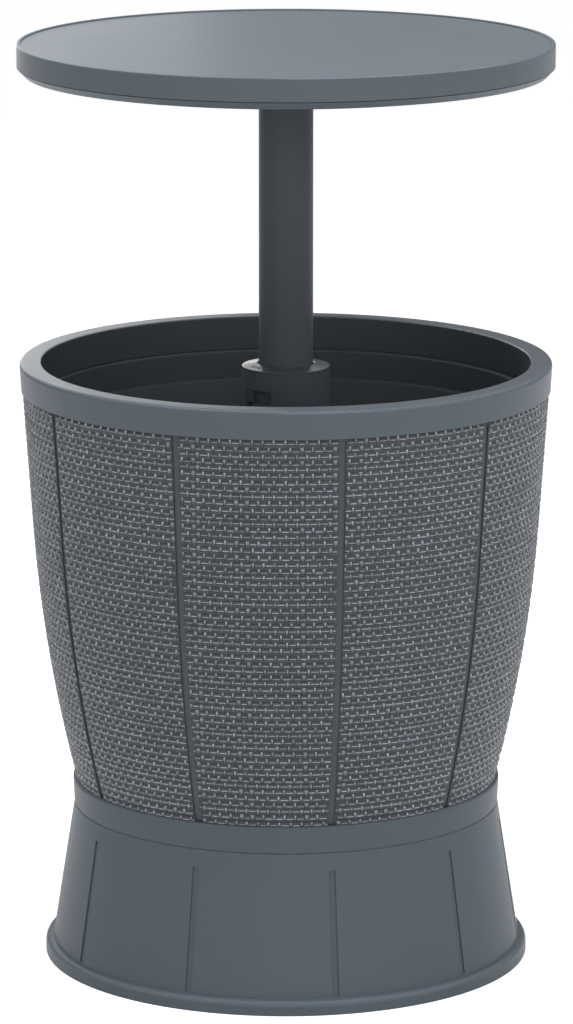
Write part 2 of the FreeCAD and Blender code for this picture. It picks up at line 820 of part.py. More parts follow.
def make_cap_and_bush():
    cap = new_piece("sleeve_cap")
    cap_edge_height = sleeve_top + S.cap_flange
    cap_top = cap_edge_height + S.cap_crown
    cap_mouth_radius = bush_bore + S.cap_mouth_gap
    spigot_radius = sleeve_bore_radius - S.cap_fit
    turned(cap, "Cap", (
        (cap_bore_radius, spigot_bottom),
        (spigot_radius, spigot_bottom),
        (spigot_radius, sleeve_top),
        (sleeve_radius, sleeve_top),
        (sleeve_radius, cap_edge_height, S.cap_round),
        (cap_mouth_radius, cap_top, S.cap_round),
        (cap_mouth_radius, cap_top - S.cap_lip),
        (cap_bore_radius, cap_top - S.cap_lip),
    ))
    bush = new_piece("pole_bush")
    turned(bush, "Bush", (
        (bush_bore, bush_bottom),
        (bush_flange_radius, bush_bottom),
        (bush_flange_radius, spigot_bottom),
        (cap_bore_radius - S.bush_fit, spigot_bottom),
        (cap_bore_radius - S.bush_fit, spigot_bottom + S.bush_height),
        (bush_bore, spigot_bottom + S.bush_height),
    ))


def make_pole_foot():
    foot = new_piece("pole_foot", S.lug_angle)
    groove_radius = foot_cup_radius - S.brake_depth
    cup_floor_top = foot_bottom + S.foot_cup_floor
    turned(foot, "Cup", (
        (0, foot_bottom),
        (foot_cup_radius, foot_bottom, S.cap_round),
        (foot_cup_radius, brake_bottom),
        (groove_radius, brake_bottom),
        (groove_radius, brake_bottom + S.brake_height),
        (foot_cup_radius, brake_bottom + S.brake_height),
        (foot_cup_radius, lug_top),
        (socket_radius, lug_top),
        (socket_radius, cup_floor_top),
        (0, cup_floor_top),
    ))
    lug = slab(foot, "Lug", (
        (foot_cup_radius - 2 * RELIEF, lug_bottom),
        (lug_radius, lug_bottom),
        (lug_radius, lug_top),
        (foot_cup_radius - 2 * RELIEF, lug_top),
    ), S.lug_width)
    repeat(foot, "Lugs", [lug], S.lug_count)
    cross_hole(foot, "PinHole", foot_pin_height, pin_hole_radius, foot_cup_radius)

    ring = new_piece("brake_ring")
    turned(ring, "Ring", (
        (groove_radius + S.brake_gap, brake_bottom + S.brake_gap),
        (sleeve_bore_radius - S.brake_running_fit, brake_bottom + S.brake_gap),
        (sleeve_bore_radius - S.brake_running_fit, brake_bottom + S.brake_height - S.brake_gap),
        (groove_radius + S.brake_gap, brake_bottom + S.brake_height - S.brake_gap),
    ))


def make_pole():
    pole = new_piece("pole", S.lug_angle)
    pole_bottom = foot_bottom + S.foot_cup_floor + S.socket_fit
    turned(pole, "Tube", (
        (S.pole_radius - S.pole_wall, pole_bottom),
        (S.pole_radius, pole_bottom),
        (S.pole_radius, hub_top),
        (S.pole_radius - S.pole_wall, hub_top),
    ))
    cross_hole(pole, "FootPinHole", foot_pin_height, pin_hole_radius, S.pole_radius)
    cross_hole(pole, "HubPinHole", hub_pin_height, pin_hole_radius, S.pole_radius)


def make_pin(label, height, housing_radius):
    """A cross pin along Y, a little shorter than the housing that it holds to the pole."""
    body = new_piece(label, S.lug_angle)
    sketch = new_sketch(body, "PinOutline")
    draw_circle(sketch, 0, height, S.pin_radius)
    pin = body.newObject("PartDesign::Pad", "Pin")
    pin.Profile = (sketch, [""])
    pin.SideType = "Symmetric"
    length = 2 * (housing_radius - S.pin_recess)
    pin.Length = length.number
    bind(pin, "Length", length)
    body.Tip = pin


def make_pole_head():
    head = new_piece("pole_head", S.lug_angle)
    turned(head, "Hub", (
        (socket_radius, hub_bottom),
        (hub_radius, hub_bottom),
        (hub_radius, hub_flange_underside, S.hub_fillet),
        (hub_flange_radius, hub_flange_underside),
        (hub_flange_radius, hub_flange_top),
        (hub_radius, hub_flange_top),
        (hub_radius, hub_top),
        (socket_radius, hub_top),
    ))
    rib = slab(head, "HubRib", (
        (hub_radius - RELIEF, hub_bottom + RELIEF),
        (hub_radius + RELIEF, hub_bottom + RELIEF),
        (hub_flange_radius - 2 * RELIEF, hub_flange_underside),
        (hub_flange_radius - 2 * RELIEF, hub_flange_underside + RELIEF),
        (hub_radius - RELIEF, hub_flange_underside + RELIEF),
    ), S.hub_rib_thickness)
    repeat(head, "HubRibs", [rib], S.hub_rib_count)
    hole = upright(
        head, "HubScrewHole", hub_screw_circle, clear_radius, hub_flange_underside - RELIEF,
        hub_flange_top + RELIEF, S.hub_screw_angle, "PartDesign::Pocket",
    )
    repeat(head, "HubScrewHoles", [hole], S.hub_screw_count)
    cross_hole(head, "PinHole", hub_pin_height, pin_hole_radius, hub_radius)


def make_table_top():
    top = new_piece("table_top")
    side_inside = table_radius - S.table_side_wall
    turned(top, "Skin", (
        (0, skin_underside),
        (side_inside, skin_underside),
        (side_inside, table_seam_height),
        (table_radius, table_seam_height),
        (table_radius, table_height, S.table_edge_round),
        (table_radius - S.table_bead_width, table_height, S.table_edge_round / 2),
        (table_radius - S.table_bead_width, skin_top),
        (0, skin_top),
    ))
    rib = slab(top, "SkinRib", (
        (hub_flange_radius + 2 * RELIEF, skin_underside - S.table_rib_depth),
        (side_inside + RELIEF, skin_underside - S.table_rib_depth),
        (side_inside + RELIEF, skin_underside + RELIEF),
        (hub_flange_radius + 2 * RELIEF, skin_underside + RELIEF),
    ), S.table_rib_thickness)
    repeat(top, "SkinRibs", [rib], S.pan_screw_count)
    hub_turn = S.hub_screw_angle + S.lug_angle
    hub_boss = upright(
        top, "HubBoss", hub_screw_circle, S.boss_radius, hub_flange_top, skin_underside + RELIEF, hub_turn,
    )
    hub_pilot = upright(
        top, "HubPilot", hub_screw_circle, bite_radius, hub_flange_top - RELIEF,
        hub_flange_underside + S.hub_screw_length + S.pilot_spare, hub_turn, "PartDesign::Pocket",
    )
    repeat(top, "HubBosses", [hub_boss, hub_pilot], S.hub_screw_count)
    pan_boss = upright(
        top, "PanBoss", pan_screw_circle, S.boss_radius, pan_boss_top, skin_underside + RELIEF,
        S.pan_screw_angle,
    )
    pan_pilot = upright(
        top, "PanPilot", pan_screw_circle, bite_radius, pan_boss_top - RELIEF,
        pan_screw_seat + S.pan_screw_length + S.pilot_spare, S.pan_screw_angle, "PartDesign::Pocket",
    )
    repeat(top, "PanBosses", [pan_boss, pan_pilot], S.pan_screw_count)


def make_table_underside():
    pan = new_piece("table_underside")
    bore_radius = S.pole_radius + S.pan_bore_fit
    rib_inner = locating_rib_radius - S.locating_rib_width
    rib_bottom = pan_bottom - S.locating_rib_depth
    lap_top = table_seam_height + S.pan_lap
    edge_top = table_seam_height - S.pan_seam_gap
    turned(pan, "Pan", (
        (bore_radius, pan_bottom),
        (rib_inner, pan_bottom),
        (rib_inner, rib_bottom),
        (locating_rib_radius, rib_bottom),
        (locating_rib_radius, pan_bottom),
        (pan_edge_radius - S.pan_edge_lean, pan_bottom, S.pan_round),
        (pan_edge_radius, edge_top),
        (pan_radius, edge_top),
        (pan_radius, lap_top),
        (pan_radius - S.pan_thickness, lap_top),
        (pan_radius - S.pan_thickness, pan_top, S.pan_round),
        (bore_radius, pan_top),
    ))
    rib = slab(pan, "PanRib", (
        (hub_flange_radius, pan_top - RELIEF),
        (pan_radius - S.pan_thickness + RELIEF, pan_top + S.pan_rib_depth / 2),
        (pan_radius - S.pan_thickness + RELIEF, pan_top + S.pan_rib_depth),
        (hub_flange_radius, pan_top + S.pan_rib_depth),
    ), S.table_rib_thickness)
    repeat(pan, "PanRibs", [rib], S.pan_screw_count)
    boss = upright(
        pan, "PanBoss", pan_screw_circle, S.boss_radius, pan_top - RELIEF, pan_boss_top, S.pan_screw_angle,
    )
    recess = upright(
        pan, "HeadRecess", pan_screw_circle, S.screw_head_radius + S.screw_recess_fit,
        pan_bottom - RELIEF, pan_screw_seat, S.pan_screw_angle, "PartDesign::Pocket",
    )
    hole = upright(
        pan, "ScrewHole", pan_screw_circle, clear_radius, pan_screw_seat - RELIEF, pan_boss_top + RELIEF,
        S.pan_screw_angle, "PartDesign::Pocket",
    )
    repeat(pan, "PanBosses", [boss, recess, hole], S.pan_screw_count)


def make_drain():
    spout = new_piece("drain_spout")
    move_to_drain(spout)
    turned(spout, "Spout", (
        (S.drain_bore_radius, drain_tube_bottom),
        (drain_tube_radius, drain_tube_bottom),
        (drain_tube_radius, drain_flange_bottom),
        (drain_flange_radius, drain_flange_bottom),
        (drain_flange_radius, drain_flange_top, S.plug_head_round),
        (S.drain_bore_radius, drain_flange_top),
    ))
    gasket = new_piece("drain_gasket")
    move_to_drain(gasket)
    turned(gasket, "Gasket", (
        (drain_tube_radius + S.drain_thread_fit, tub_floor_height),
        (drain_flange_radius - S.drain_gasket_inset, tub_floor_height),
        (drain_flange_radius - S.drain_gasket_inset, drain_flange_bottom),
        (drain_tube_radius + S.drain_thread_fit, drain_flange_bottom),
    ))
    nut = new_piece("drain_nut")
    move_to_drain(nut)
    sketch = new_sketch(nut, "NutOutline", "XY_Plane", S.deck_height - S.nut_height)
    sides = [Size(60.0 * i, str(60 * i)) for i in range(6)]
    draw_outline(sketch, [(nut_radius * cosine(side), nut_radius * sine(side)) for side in sides])
    draw_circle(sketch, 0, 0, drain_tube_radius + S.drain_thread_fit)
    feature = nut.newObject("PartDesign::Pad", "Nut")
    feature.Profile = (sketch, [""])
    feature.Length = S.nut_height.number
    bind(feature, "Length", S.nut_height)
    nut.Tip = feature


def make_drain_plug():
    plug = new_piece("drain_plug")
    move_to_drain(plug)
    shank_radius = S.drain_bore_radius - S.plug_fit
    shank_bottom = drain_flange_top - S.plug_shank_length
    groove_half = S.seal_cord_radius + 2 * S.seal_gap
    groove_top = seal_height + groove_half
    head_top = plug_head_bottom + S.plug_head_height
    turned(plug, "Stopper", (
        (0, shank_bottom),
        (shank_radius, shank_bottom, S.plug_head_round),
        (shank_radius, plug_head_bottom),
        (seal_ring_radius - groove_half, plug_head_bottom),
        (seal_ring_radius - groove_half, groove_top),
        (seal_ring_radius + groove_half, groove_top),
        (seal_ring_radius + groove_half, plug_head_bottom),
        (plug_head_radius, plug_head_bottom),
        (plug_head_radius, head_top, S.plug_head_round),
        (0, head_top),
    ))
    tab_top = head_top + S.plug_tab_height
    slab(plug, "FingerTab", (
        (-S.plug_tab_half_width, head_top - RELIEF),
        (S.plug_tab_half_width, head_top - RELIEF),
        (S.plug_tab_half_width, tab_top, S.plug_tab_round),
        (-S.plug_tab_half_width, tab_top, S.plug_tab_round),
    ), S.plug_tab_thickness)

    seal = doc.addObject("Part::Torus", "drain_plug_seal")
    seal.Label = "drain_plug_seal"
    seal.Radius1 = seal_ring_radius.number
    seal.Radius2 = S.seal_cord_radius.number
    bind(seal, "Radius1", seal_ring_radius)
    bind(seal, "Radius2", S.seal_cord_radius)
    move_to_drain(seal)
    seal.Placement.Base.z = seal_height.number
    bind(seal, "Placement.Base.z", seal_height)
    pieces.append(seal)


def make_screws(label, circle, turn, count, seat, length, upward=True):
    """A ring of equal pan head screws, with the shank going up from the seat or down from it."""
    body = new_piece(label, turn)
    sketch = new_sketch(body, "ScrewOutline")
    way = 1 if upward else -1
    head = seat - way * S.screw_head_height
    tip = seat + way * length
    draw_outline(sketch, (
        (circle, head),
        (circle + S.screw_head_radius, head, S.screw_head_height / 2),
        (circle + S.screw_head_radius, seat),
        (circle + S.screw_radius, seat),
        (circle + S.screw_radius, tip - way * S.screw_radius),
        (circle, tip),
    ))
    axis = sketch.addGeometry(Part.LineSegment(
        Vector(circle.number, head.number, 0), Vector(circle.number, tip.number, 0),
    ), True)
    locate(sketch, axis, 1, circle, head)
    locate(sketch, axis, 2, circle, tip)
    screw = body.newObject("PartDesign::Revolution", "Screw")
    screw.Profile = (sketch, [""])
    screw.ReferenceAxis = (sketch, ["Axis0"])
    screw.Angle = 360
    slot_sketch = new_sketch(body, "DriveOutline")
    half = S.screw_slot_length / 2
    inner_face = head + way * S.screw_slot_depth
    draw_outline(slot_sketch, (
        (circle - half, head - way * RELIEF),
        (circle + half, head - way * RELIEF),
        (circle + half, inner_face),
        (circle - half, inner_face),
    ))
    slot = body.newObject("PartDesign::Pocket", "Drive")
    slot.Profile = (slot_sketch, [""])
    slot.SideType = "Symmetric"
    slot.Length = S.screw_slot_width.number
    bind(slot, "Length", S.screw_slot_width)
    repeat(body, "Screws", [screw, slot], count)


def make_everything():
    make_base()
    make_outer_shell()
    make_inner_tub()
    make_rim_ring()
    make_sleeve()
    make_cap_and_bush()
    make_pole_foot()
    make_pole()
    make_pin("pole_foot_pin", foot_pin_height, foot_cup_radius)
    make_pole_head()
    make_pin("pole_head_pin", hub_pin_height, hub_radius)
    make_table_top()
    make_table_underside()
    make_drain()
    make_drain_plug()
    make_screws(
        "base_screws", base_screw_circle, S.base_screw_angle, S.base_screw_count,
        deck_underside, S.base_screw_length,
    )
    make_screws(
        "sleeve_screws", sleeve_screw_circle, S.lug_angle, S.sleeve_screw_count,
        sleeve_flange_top, S.sleeve_screw_length, upward=False,
    )
    make_screws(
        "pole_head_screws", hub_screw_circle, S.hub_screw_angle + S.lug_angle, S.hub_screw_count,
        hub_flange_underside, S.hub_screw_length,
    )
    make_screws(
        "table_screws", pan_screw_circle, S.pan_screw_angle, S.pan_screw_count,
        pan_screw_seat, S.pan_screw_length,
    )


def check_everything():
    """Stops on a failed object, an empty or broken shape, or a feature that changed nothing."""
    for thing in doc.Objects:
        if "Invalid" in thing.State or "Error" in thing.State:
            raise RuntimeError(f"{thing.Label} did not compute: {thing.State}")
        base = getattr(thing, "BaseFeature", None)
        if base is None or thing.isDerivedFrom("PartDesign::Body"):
            continue
        change = thing.Shape.Volume - base.Shape.Volume
        if abs(change) < 0.1:
            raise RuntimeError(f"{thing.Label} changed nothing")
        if thing.TypeId in ("PartDesign::Pocket", "PartDesign::Groove") and change > 0:
            raise RuntimeError(f"{thing.Label} did not cut")
    for piece in pieces:
        if piece.Shape.isNull() or not piece.Shape.isValid():
            raise RuntimeError(f"{piece.Label} has no sound shape")


make_everything()
doc.recompute()
check_everything()
os.makedirs("parts", exist_ok=True)
for piece in pieces:
    piece.Shape.exportStep(f"parts/{piece.Label}.step")
    box = piece.Shape.BoundBox
    print(
        f"{piece.Label}: {len(piece.Shape.Solids)} solid(s), {piece.Shape.Volume / 1000:.1f} cm3, "
        f"z {box.ZMin:.1f} to {box.ZMax:.1f}"
    )
print(f"travel {S.travel.number:.2f} mm, {len(pieces)} pieces")
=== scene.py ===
"""Looks of a cooler table, a woven barrel on a flared base with a round tabletop on a lifting pole.

Lengths are in metres. The pole stands on the Z axis, and the photograph's side faces -Y.
"""

import math

import bmesh
import bpy
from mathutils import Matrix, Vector


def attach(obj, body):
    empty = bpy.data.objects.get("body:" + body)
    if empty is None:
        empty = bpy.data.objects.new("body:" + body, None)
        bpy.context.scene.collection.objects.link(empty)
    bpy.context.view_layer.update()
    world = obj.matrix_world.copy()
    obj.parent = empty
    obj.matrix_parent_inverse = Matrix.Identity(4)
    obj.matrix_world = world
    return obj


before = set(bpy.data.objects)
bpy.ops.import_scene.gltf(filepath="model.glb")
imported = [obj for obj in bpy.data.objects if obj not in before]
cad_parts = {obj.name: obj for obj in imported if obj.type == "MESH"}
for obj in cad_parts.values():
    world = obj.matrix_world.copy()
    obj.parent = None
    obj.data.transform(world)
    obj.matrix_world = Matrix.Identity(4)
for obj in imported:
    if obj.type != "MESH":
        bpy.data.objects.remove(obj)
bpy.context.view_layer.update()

bl_info = {
    "name": "Cooler Table",
    "version": (1, 0, 0),
    "blender": (4, 5, 0),
    "location": "View3D > Sidebar > Cooler Table",
    "description": "Dresses the cooler table: moulded weave, lock marks, finishes and the studio",
    "category": "Object",
}


# Sizes and colours


def length_property(name, description, metres):
    return bpy.props.FloatProperty(name=name, description=description, default=metres, unit="LENGTH")


def angle_property(name, description, degrees):
    return bpy.props.FloatProperty(
        name=name, description=description, default=math.radians(degrees), subtype="ANGLE")


def share_property(name, description, share, low=0, high=1):
    return bpy.props.FloatProperty(
        name=name, description=description, default=share, min=low, max=high, subtype="FACTOR")


def strength_property(name, description, strength):
    return bpy.props.FloatProperty(name=name, description=description, default=strength, min=0)


def colour_property(name, description, colour):
    return bpy.props.FloatVectorProperty(
        name=name, description=description, default=colour, size=3, min=0, max=1, subtype="COLOR")


class BarrelSizes(bpy.types.PropertyGroup):
    """Shape of the barrel that the weave lies on."""

    foot_radius: length_property("Foot radius", "Radius where the barrel sits in the base", 0.1897)
    foot_height: length_property("Foot height", "Height where the barrel sits in the base", 0.150)
    shoulder_radius: length_property(
        "Shoulder radius", "Radius where the swelling side turns straight", 0.2329)
    shoulder_height: length_property(
        "Shoulder height", "Height where the swelling side turns straight", 0.4117)
    top_radius: length_property("Top radius", "Radius of the barrel under its rim", 0.2412)
    top_height: length_property("Top height", "Height of the rim's lower edge", 0.5338)
    swell_radius: length_property("Swell radius", "Radius of the arc that the lower side follows", 1.340)
    panels: bpy.props.IntProperty(
        name="Panels", description="Number of woven panels round the barrel", default=10, min=3)
    first_panel: angle_property("First panel", "Direction of the first panel's middle", 12)
    groove_width: length_property("Groove width", "Width of the upright grooves between the panels", 0.0061)


class WeaveSizes(bpy.types.PropertyGroup):
    """Sizes of the moulded weave."""

    bottom: length_property("Bottom", "Height of the lowest row", 0.1670)
    row_pitch: length_property("Row pitch", "Mean height of a row", 0.0062)
    row_spread: share_property(
        "Row spread", "How far a row may stray, as a share of the pitch", 0.16, high=0.4)
    row_repeat: bpy.props.IntProperty(
        name="Row repeat", description="Rows after which the uneven heights repeat", default=16, min=2)
    strand_pitch: length_property("Strand pitch", "Mean distance between upright strands", 0.0049)
    strand_spread: share_property(
        "Strand spread", "How far an upright strand may stray, as a share of the pitch", 0.10, high=0.4)
    strand_width: length_property("Strand width", "Width of a narrow upright strand", 0.0020)
    wide_width: length_property("Wide strand width", "Width of a wide upright strand", 0.0038)
    wide_share: share_property("Wide share", "Share of the upright strands that are wide", 0.22)
    wide_dulling: share_property(
        "Wide dulling", "How far a wide strand is held to the dark end of its shades", 0.8)
    band_fill: share_property("Band fill", "Height of a level band as a share of its row", 0.98, low=0.3)
    band_rise: length_property("Band rise", "How far a level band stands proud", 0.0013)
    strand_rise: length_property("Strand rise", "How far an upright strand stands proud", 0.0016)
    seed: bpy.props.IntProperty(name="Seed", description="Seed of the unevenness", default=7)


class MarkSizes(bpy.types.PropertyGroup):
    """Lock marks on the sleeve's cap."""

    circle: length_property("Circle", "Distance of the marks from the pole's axis", 0.0335)
    size: length_property("Size", "Height of a mark", 0.0038)
    cap_edge_radius: length_property("Cap edge radius", "Outer radius of the cap's sloping top", 0.0405)
    cap_edge_height: length_property("Cap edge height", "Height of the cap's outer edge", 0.5553)
    cap_slope: bpy.props.FloatProperty(
        name="Cap slope", description="How fast the cap's top climbs towards the pole", default=0.1769)
    rise: length_property("Rise", "How far a mark stands proud", 0.00025)
    locked_direction: angle_property("Locked direction", "Direction of the closed lock", -153)
    open_direction: angle_property("Open direction", "Direction of the open lock", -136)


class FinishColours(bpy.types.PropertyGroup):
    """Colours, grain and gloss of the finishes."""

    slate: colour_property("Slate", "Satin plastic of the base, rim and tabletop", (0.105, 0.128, 0.150))
    weave: colour_property("Weave", "Plastic of the weave's strands", (0.071, 0.079, 0.095))
    # Painted highlight: pale colour on the upper facet of each level band
    ridge_highlight: colour_property("Ridge", "Pale worn ridges of the level strands", (0.325, 0.34, 0.365))
    # Painted highlight: pale colour on the head of each upright strand
    head: colour_property("Head", "Pale worn heads of the upright strands", (0.41, 0.43, 0.46))
    # Painted shade: the ground between the strands is coloured darker than the grooves of the same shell
    painted_shade_ground: colour_property("Ground", "Plastic under the weave", (0.068, 0.075, 0.086))
    groove: colour_property(
        "Groove", "Smooth plastic of the grooves between the panels", (0.098, 0.108, 0.123))
    liner: colour_property("Liner", "Smooth plastic of the tub and sleeve", (0.064, 0.074, 0.087))
    cap: colour_property("Cap", "Plastic of the sleeve's cap and the pole's foot", (0.068, 0.079, 0.092))
    pole: colour_property("Pole", "Satin plastic of the pole", (0.085, 0.097, 0.112))
    marks: colour_property("Marks", "Satin print of the lock marks", (0.012, 0.013, 0.015))
    nylon: colour_property("Nylon", "Nylon of the bush, the hub and the drain", (0.040, 0.043, 0.047))
    rubber: colour_property("Rubber", "Rubber of the seals and the brake ring", (0.018, 0.018, 0.020))
    zinc: colour_property("Zinc", "Plating of the screws and pins", (0.56, 0.56, 0.57))
    grain: length_property("Grain", "Size of the moulded grain", 0.0005)
    roughness: share_property("Roughness", "Roughness of the slate plastic", 0.42)
    gloss: share_property("Gloss", "Specular level of the rim and tabletop", 0.24)
    base_gloss: share_property("Base gloss", "Specular level of the base", 0.10)


class StudioSizes(bpy.types.PropertyGroup):
    """Camera, sky, lamps and floor."""

    camera_distance: length_property("Camera distance", "Distance in front of the pole's axis", 4.9386)
    camera_height: length_property("Camera height", "Height above the floor", 1.4928)
    camera_side: length_property("Camera side", "Distance to the right of the axis", 0.0005)
    camera_tilt: angle_property("Camera tilt", "How far the camera looks down", 12.294)
    focal_length: bpy.props.FloatProperty(
        name="Focal length", description="Lens on a 36 mm long side, in millimetres", default=191.88)
    back_sky: strength_property("Back sky", "Strength of the sky's middle belt behind the object", 1.35)
    right_sky: strength_property("Right sky", "Strength of the sky's middle belt on the right", 0.68)
    left_sky: strength_property("Left sky", "Strength of the sky's middle belt on the left", 1.02)
    front_horizon: strength_property("Front horizon", "Strength of the low sky in front", 1.82)
    back_horizon: strength_property("Back horizon", "Strength of the low sky behind the object", 0.15)
    right_horizon: strength_property("Right horizon", "Strength of the low sky on the right", 0.31)
    top_lamp: strength_property("Top lamp", "Watts of the large lamp overhead", 36)
    left_lamp: strength_property("Left lamp", "Watts of the lamp high on the left", 17.5)
    right_lamp: strength_property("Right lamp", "Watts of the lamp high on the right", 20)
    front_lamp: strength_property("Front lamp", "Watts of the lamp high in front", 4.5)
    side_lamp: strength_property("Side lamp", "Watts of the lamp lower on the right", 4.5)
    corner_lamp: strength_property("Corner lamp", "Watts of the lamp at the front right", 2.5)
    back_lamp: strength_property("Back lamp", "Watts of the lamp close behind on the left", 1.1)
    low_back_lamp: strength_property("Low back lamp", "Watts of the small lamp under the back lamp", 1.0)
    far_back_lamp: strength_property("Far back lamp", "Watts of the lamp farther behind on the left", 2.7)
    floor: colour_property("Floor", "Colour of the floor", (0.70, 0.70, 0.70))
    floor_glow: strength_property("Floor glow", "What the floor adds to be seen as white", 0.70)


# Node trees


class Wire:
    """A socket that can be used in a formula."""

    def __init__(self, maker, socket):
        self.maker = maker
        self.socket = socket

    def __add__(self, other):
        return self.maker.math("ADD", self, other)

    def __sub__(self, other):
        return self.maker.math("SUBTRACT", self, other)

    def __rsub__(self, other):
        return self.maker.math("SUBTRACT", other, self)

    def __mul__(self, other):
        return self.maker.math("MULTIPLY", self, other)

    def __truediv__(self, other):
        return self.maker.math("DIVIDE", self, other)

    def __neg__(self):
        return self.maker.math("MULTIPLY", self, -1.0)


class TreeMaker:
    """Adds nodes to a tree and links them."""

    def __init__(self, tree):
        self.tree = tree

    def node(self, kind, inputs=None, **settings):
        made = self.tree.nodes.new(kind)
        for name, value in settings.items():
            setattr(made, name, value)
        for key, value in (inputs or {}).items():
            self.feed(self.socket_of(made, key), value)
        return made

    def socket_of(self, node, key):
        if isinstance(key, int):
            return node.inputs[key]
        return next(s for s in node.inputs if key in (s.identifier, s.name))

    def feed(self, socket, value):
        if isinstance(value, Wire):
            value = value.socket
        if isinstance(value, bpy.types.NodeSocket):
            self.tree.links.new(value, socket)
        else:
            socket.default_value = value

    def out(self, node, key=0):
        if isinstance(key, int):
            return Wire(self, node.outputs[key])
        return Wire(self, next(s for s in node.outputs if key in (s.identifier, s.name)))

    def math(self, operation, *values):
        node = self.node("ShaderNodeMath", operation=operation)
        for socket, value in zip(node.inputs, values):
            self.feed(socket, value)
        return self.out(node)

    def vector(self, x, y, z):
        return self.out(self.node("ShaderNodeCombineXYZ", {0: x, 1: y, 2: z}))

    def random(self, low, high, key, seed):
        node = self.node("FunctionNodeRandomValue", {
            "Min_001": low, "Max_001": high, "ID": key, "Seed": seed}, data_type="FLOAT")
        return self.out(node, "Value_001")

    def split(self, place):
        """X, Y and Z of a place."""
        node = self.node("ShaderNodeSeparateXYZ", {0: place})
        return [self.out(node, axis) for axis in "XYZ"]

    def diagonal(self, first, second):
        """Length of the diagonal over two lengths at a right angle."""
        return self.math("SQRT", first * first + second * second)

    def soft_step(self, value, start, end):
        """Goes softly from 0 to 1 while the value goes from start to end."""
        node = self.node("ShaderNodeMapRange", {
            "Value": value, "From Min": start, "From Max": end}, interpolation_type="SMOOTHSTEP")
        return self.out(node)

    def named_inputs(self, inputs):
        """Gives the tree inputs, each by label, kind and default, and returns their wires by label."""
        for label, kind, default in inputs:
            socket = self.tree.interface.new_socket(label, in_out="INPUT", socket_type=kind)
            socket.default_value = default
        entry = self.node("NodeGroupInput")
        return {socket.name: Wire(self, socket) for socket in entry.outputs if socket.name}


# Weave


def barrel_line(maker, sizes, height):
    """Radius of the barrel at a height, and how fast it grows upwards."""
    across = sizes.shoulder_radius - sizes.foot_radius
    up = sizes.shoulder_height - sizes.foot_height
    chord = math.hypot(across, up)
    rise = math.sqrt(sizes.swell_radius**2 - chord**2 / 4)
    centre_across = (sizes.shoulder_radius + sizes.foot_radius) / 2 - up * rise / chord
    centre_up = (sizes.shoulder_height + sizes.foot_height) / 2 + across * rise / chord
    slope = (sizes.top_radius - sizes.shoulder_radius) / (sizes.top_height - sizes.shoulder_height)
    above = height - centre_up
    level = maker.math("SQRT", sizes.swell_radius**2 - above * above)
    straight = maker.math("GREATER_THAN", height, sizes.shoulder_height)
    swelling = 1.0 - straight
    swell_part = (level + centre_across) * swelling
    straight_part = ((height - sizes.shoulder_height) * slope + sizes.shoulder_radius) * straight
    growth = -(above / level) * swelling + straight * slope
    return swell_part + straight_part, growth


def strand_form(name, stations, profile, sharp=()):
    """A closed strand segment in unit size, with the attributes along and across.

    Stations are places along its length, each with how high the profile is lifted there. Profile is places
    across it, each with its height. Sharp lists the points of the profile whose lines are crisp edges.
    """
    verts = []
    along_values = []
    across_values = []
    for along, lift in stations:
        for across, share in profile:
            verts.append((along, across, min(share, share * lift)))
            along_values.append(along)
            across_values.append(across)
    wide = len(profile)
    long = len(stations)
    faces = []
    for i in range(long - 1):
        for j in range(wide - 1):
            a = i * wide + j
            faces.append((a, a + wide, a + wide + 1, a + 1))
    edge = [i * wide for i in range(long)]
    edge += [(long - 1) * wide + j for j in range(1, wide)]
    edge += [i * wide + wide - 1 for i in range(long - 2, -1, -1)]
    edge += list(range(wide - 2, 0, -1))
    faces.append(tuple(reversed(edge)))
    mesh = bpy.data.meshes.new(name)
    mesh.from_pydata(verts, [], faces)
    mesh.update()
    for face in mesh.polygons:
        face.use_smooth = face.index < len(faces) - 1
    for line in mesh.edges:
        start, end = line.vertices
        line.use_edge_sharp = start % wide == end % wide and start % wide in sharp
    for label, values in (("along", along_values), ("across", across_values)):
        attribute = mesh.attributes.new(label, "FLOAT", "POINT")
        attribute.data.foreach_set("value", values)
    form = bpy.data.objects.new(name, mesh)
    bpy.context.scene.collection.objects.link(form)
    return form


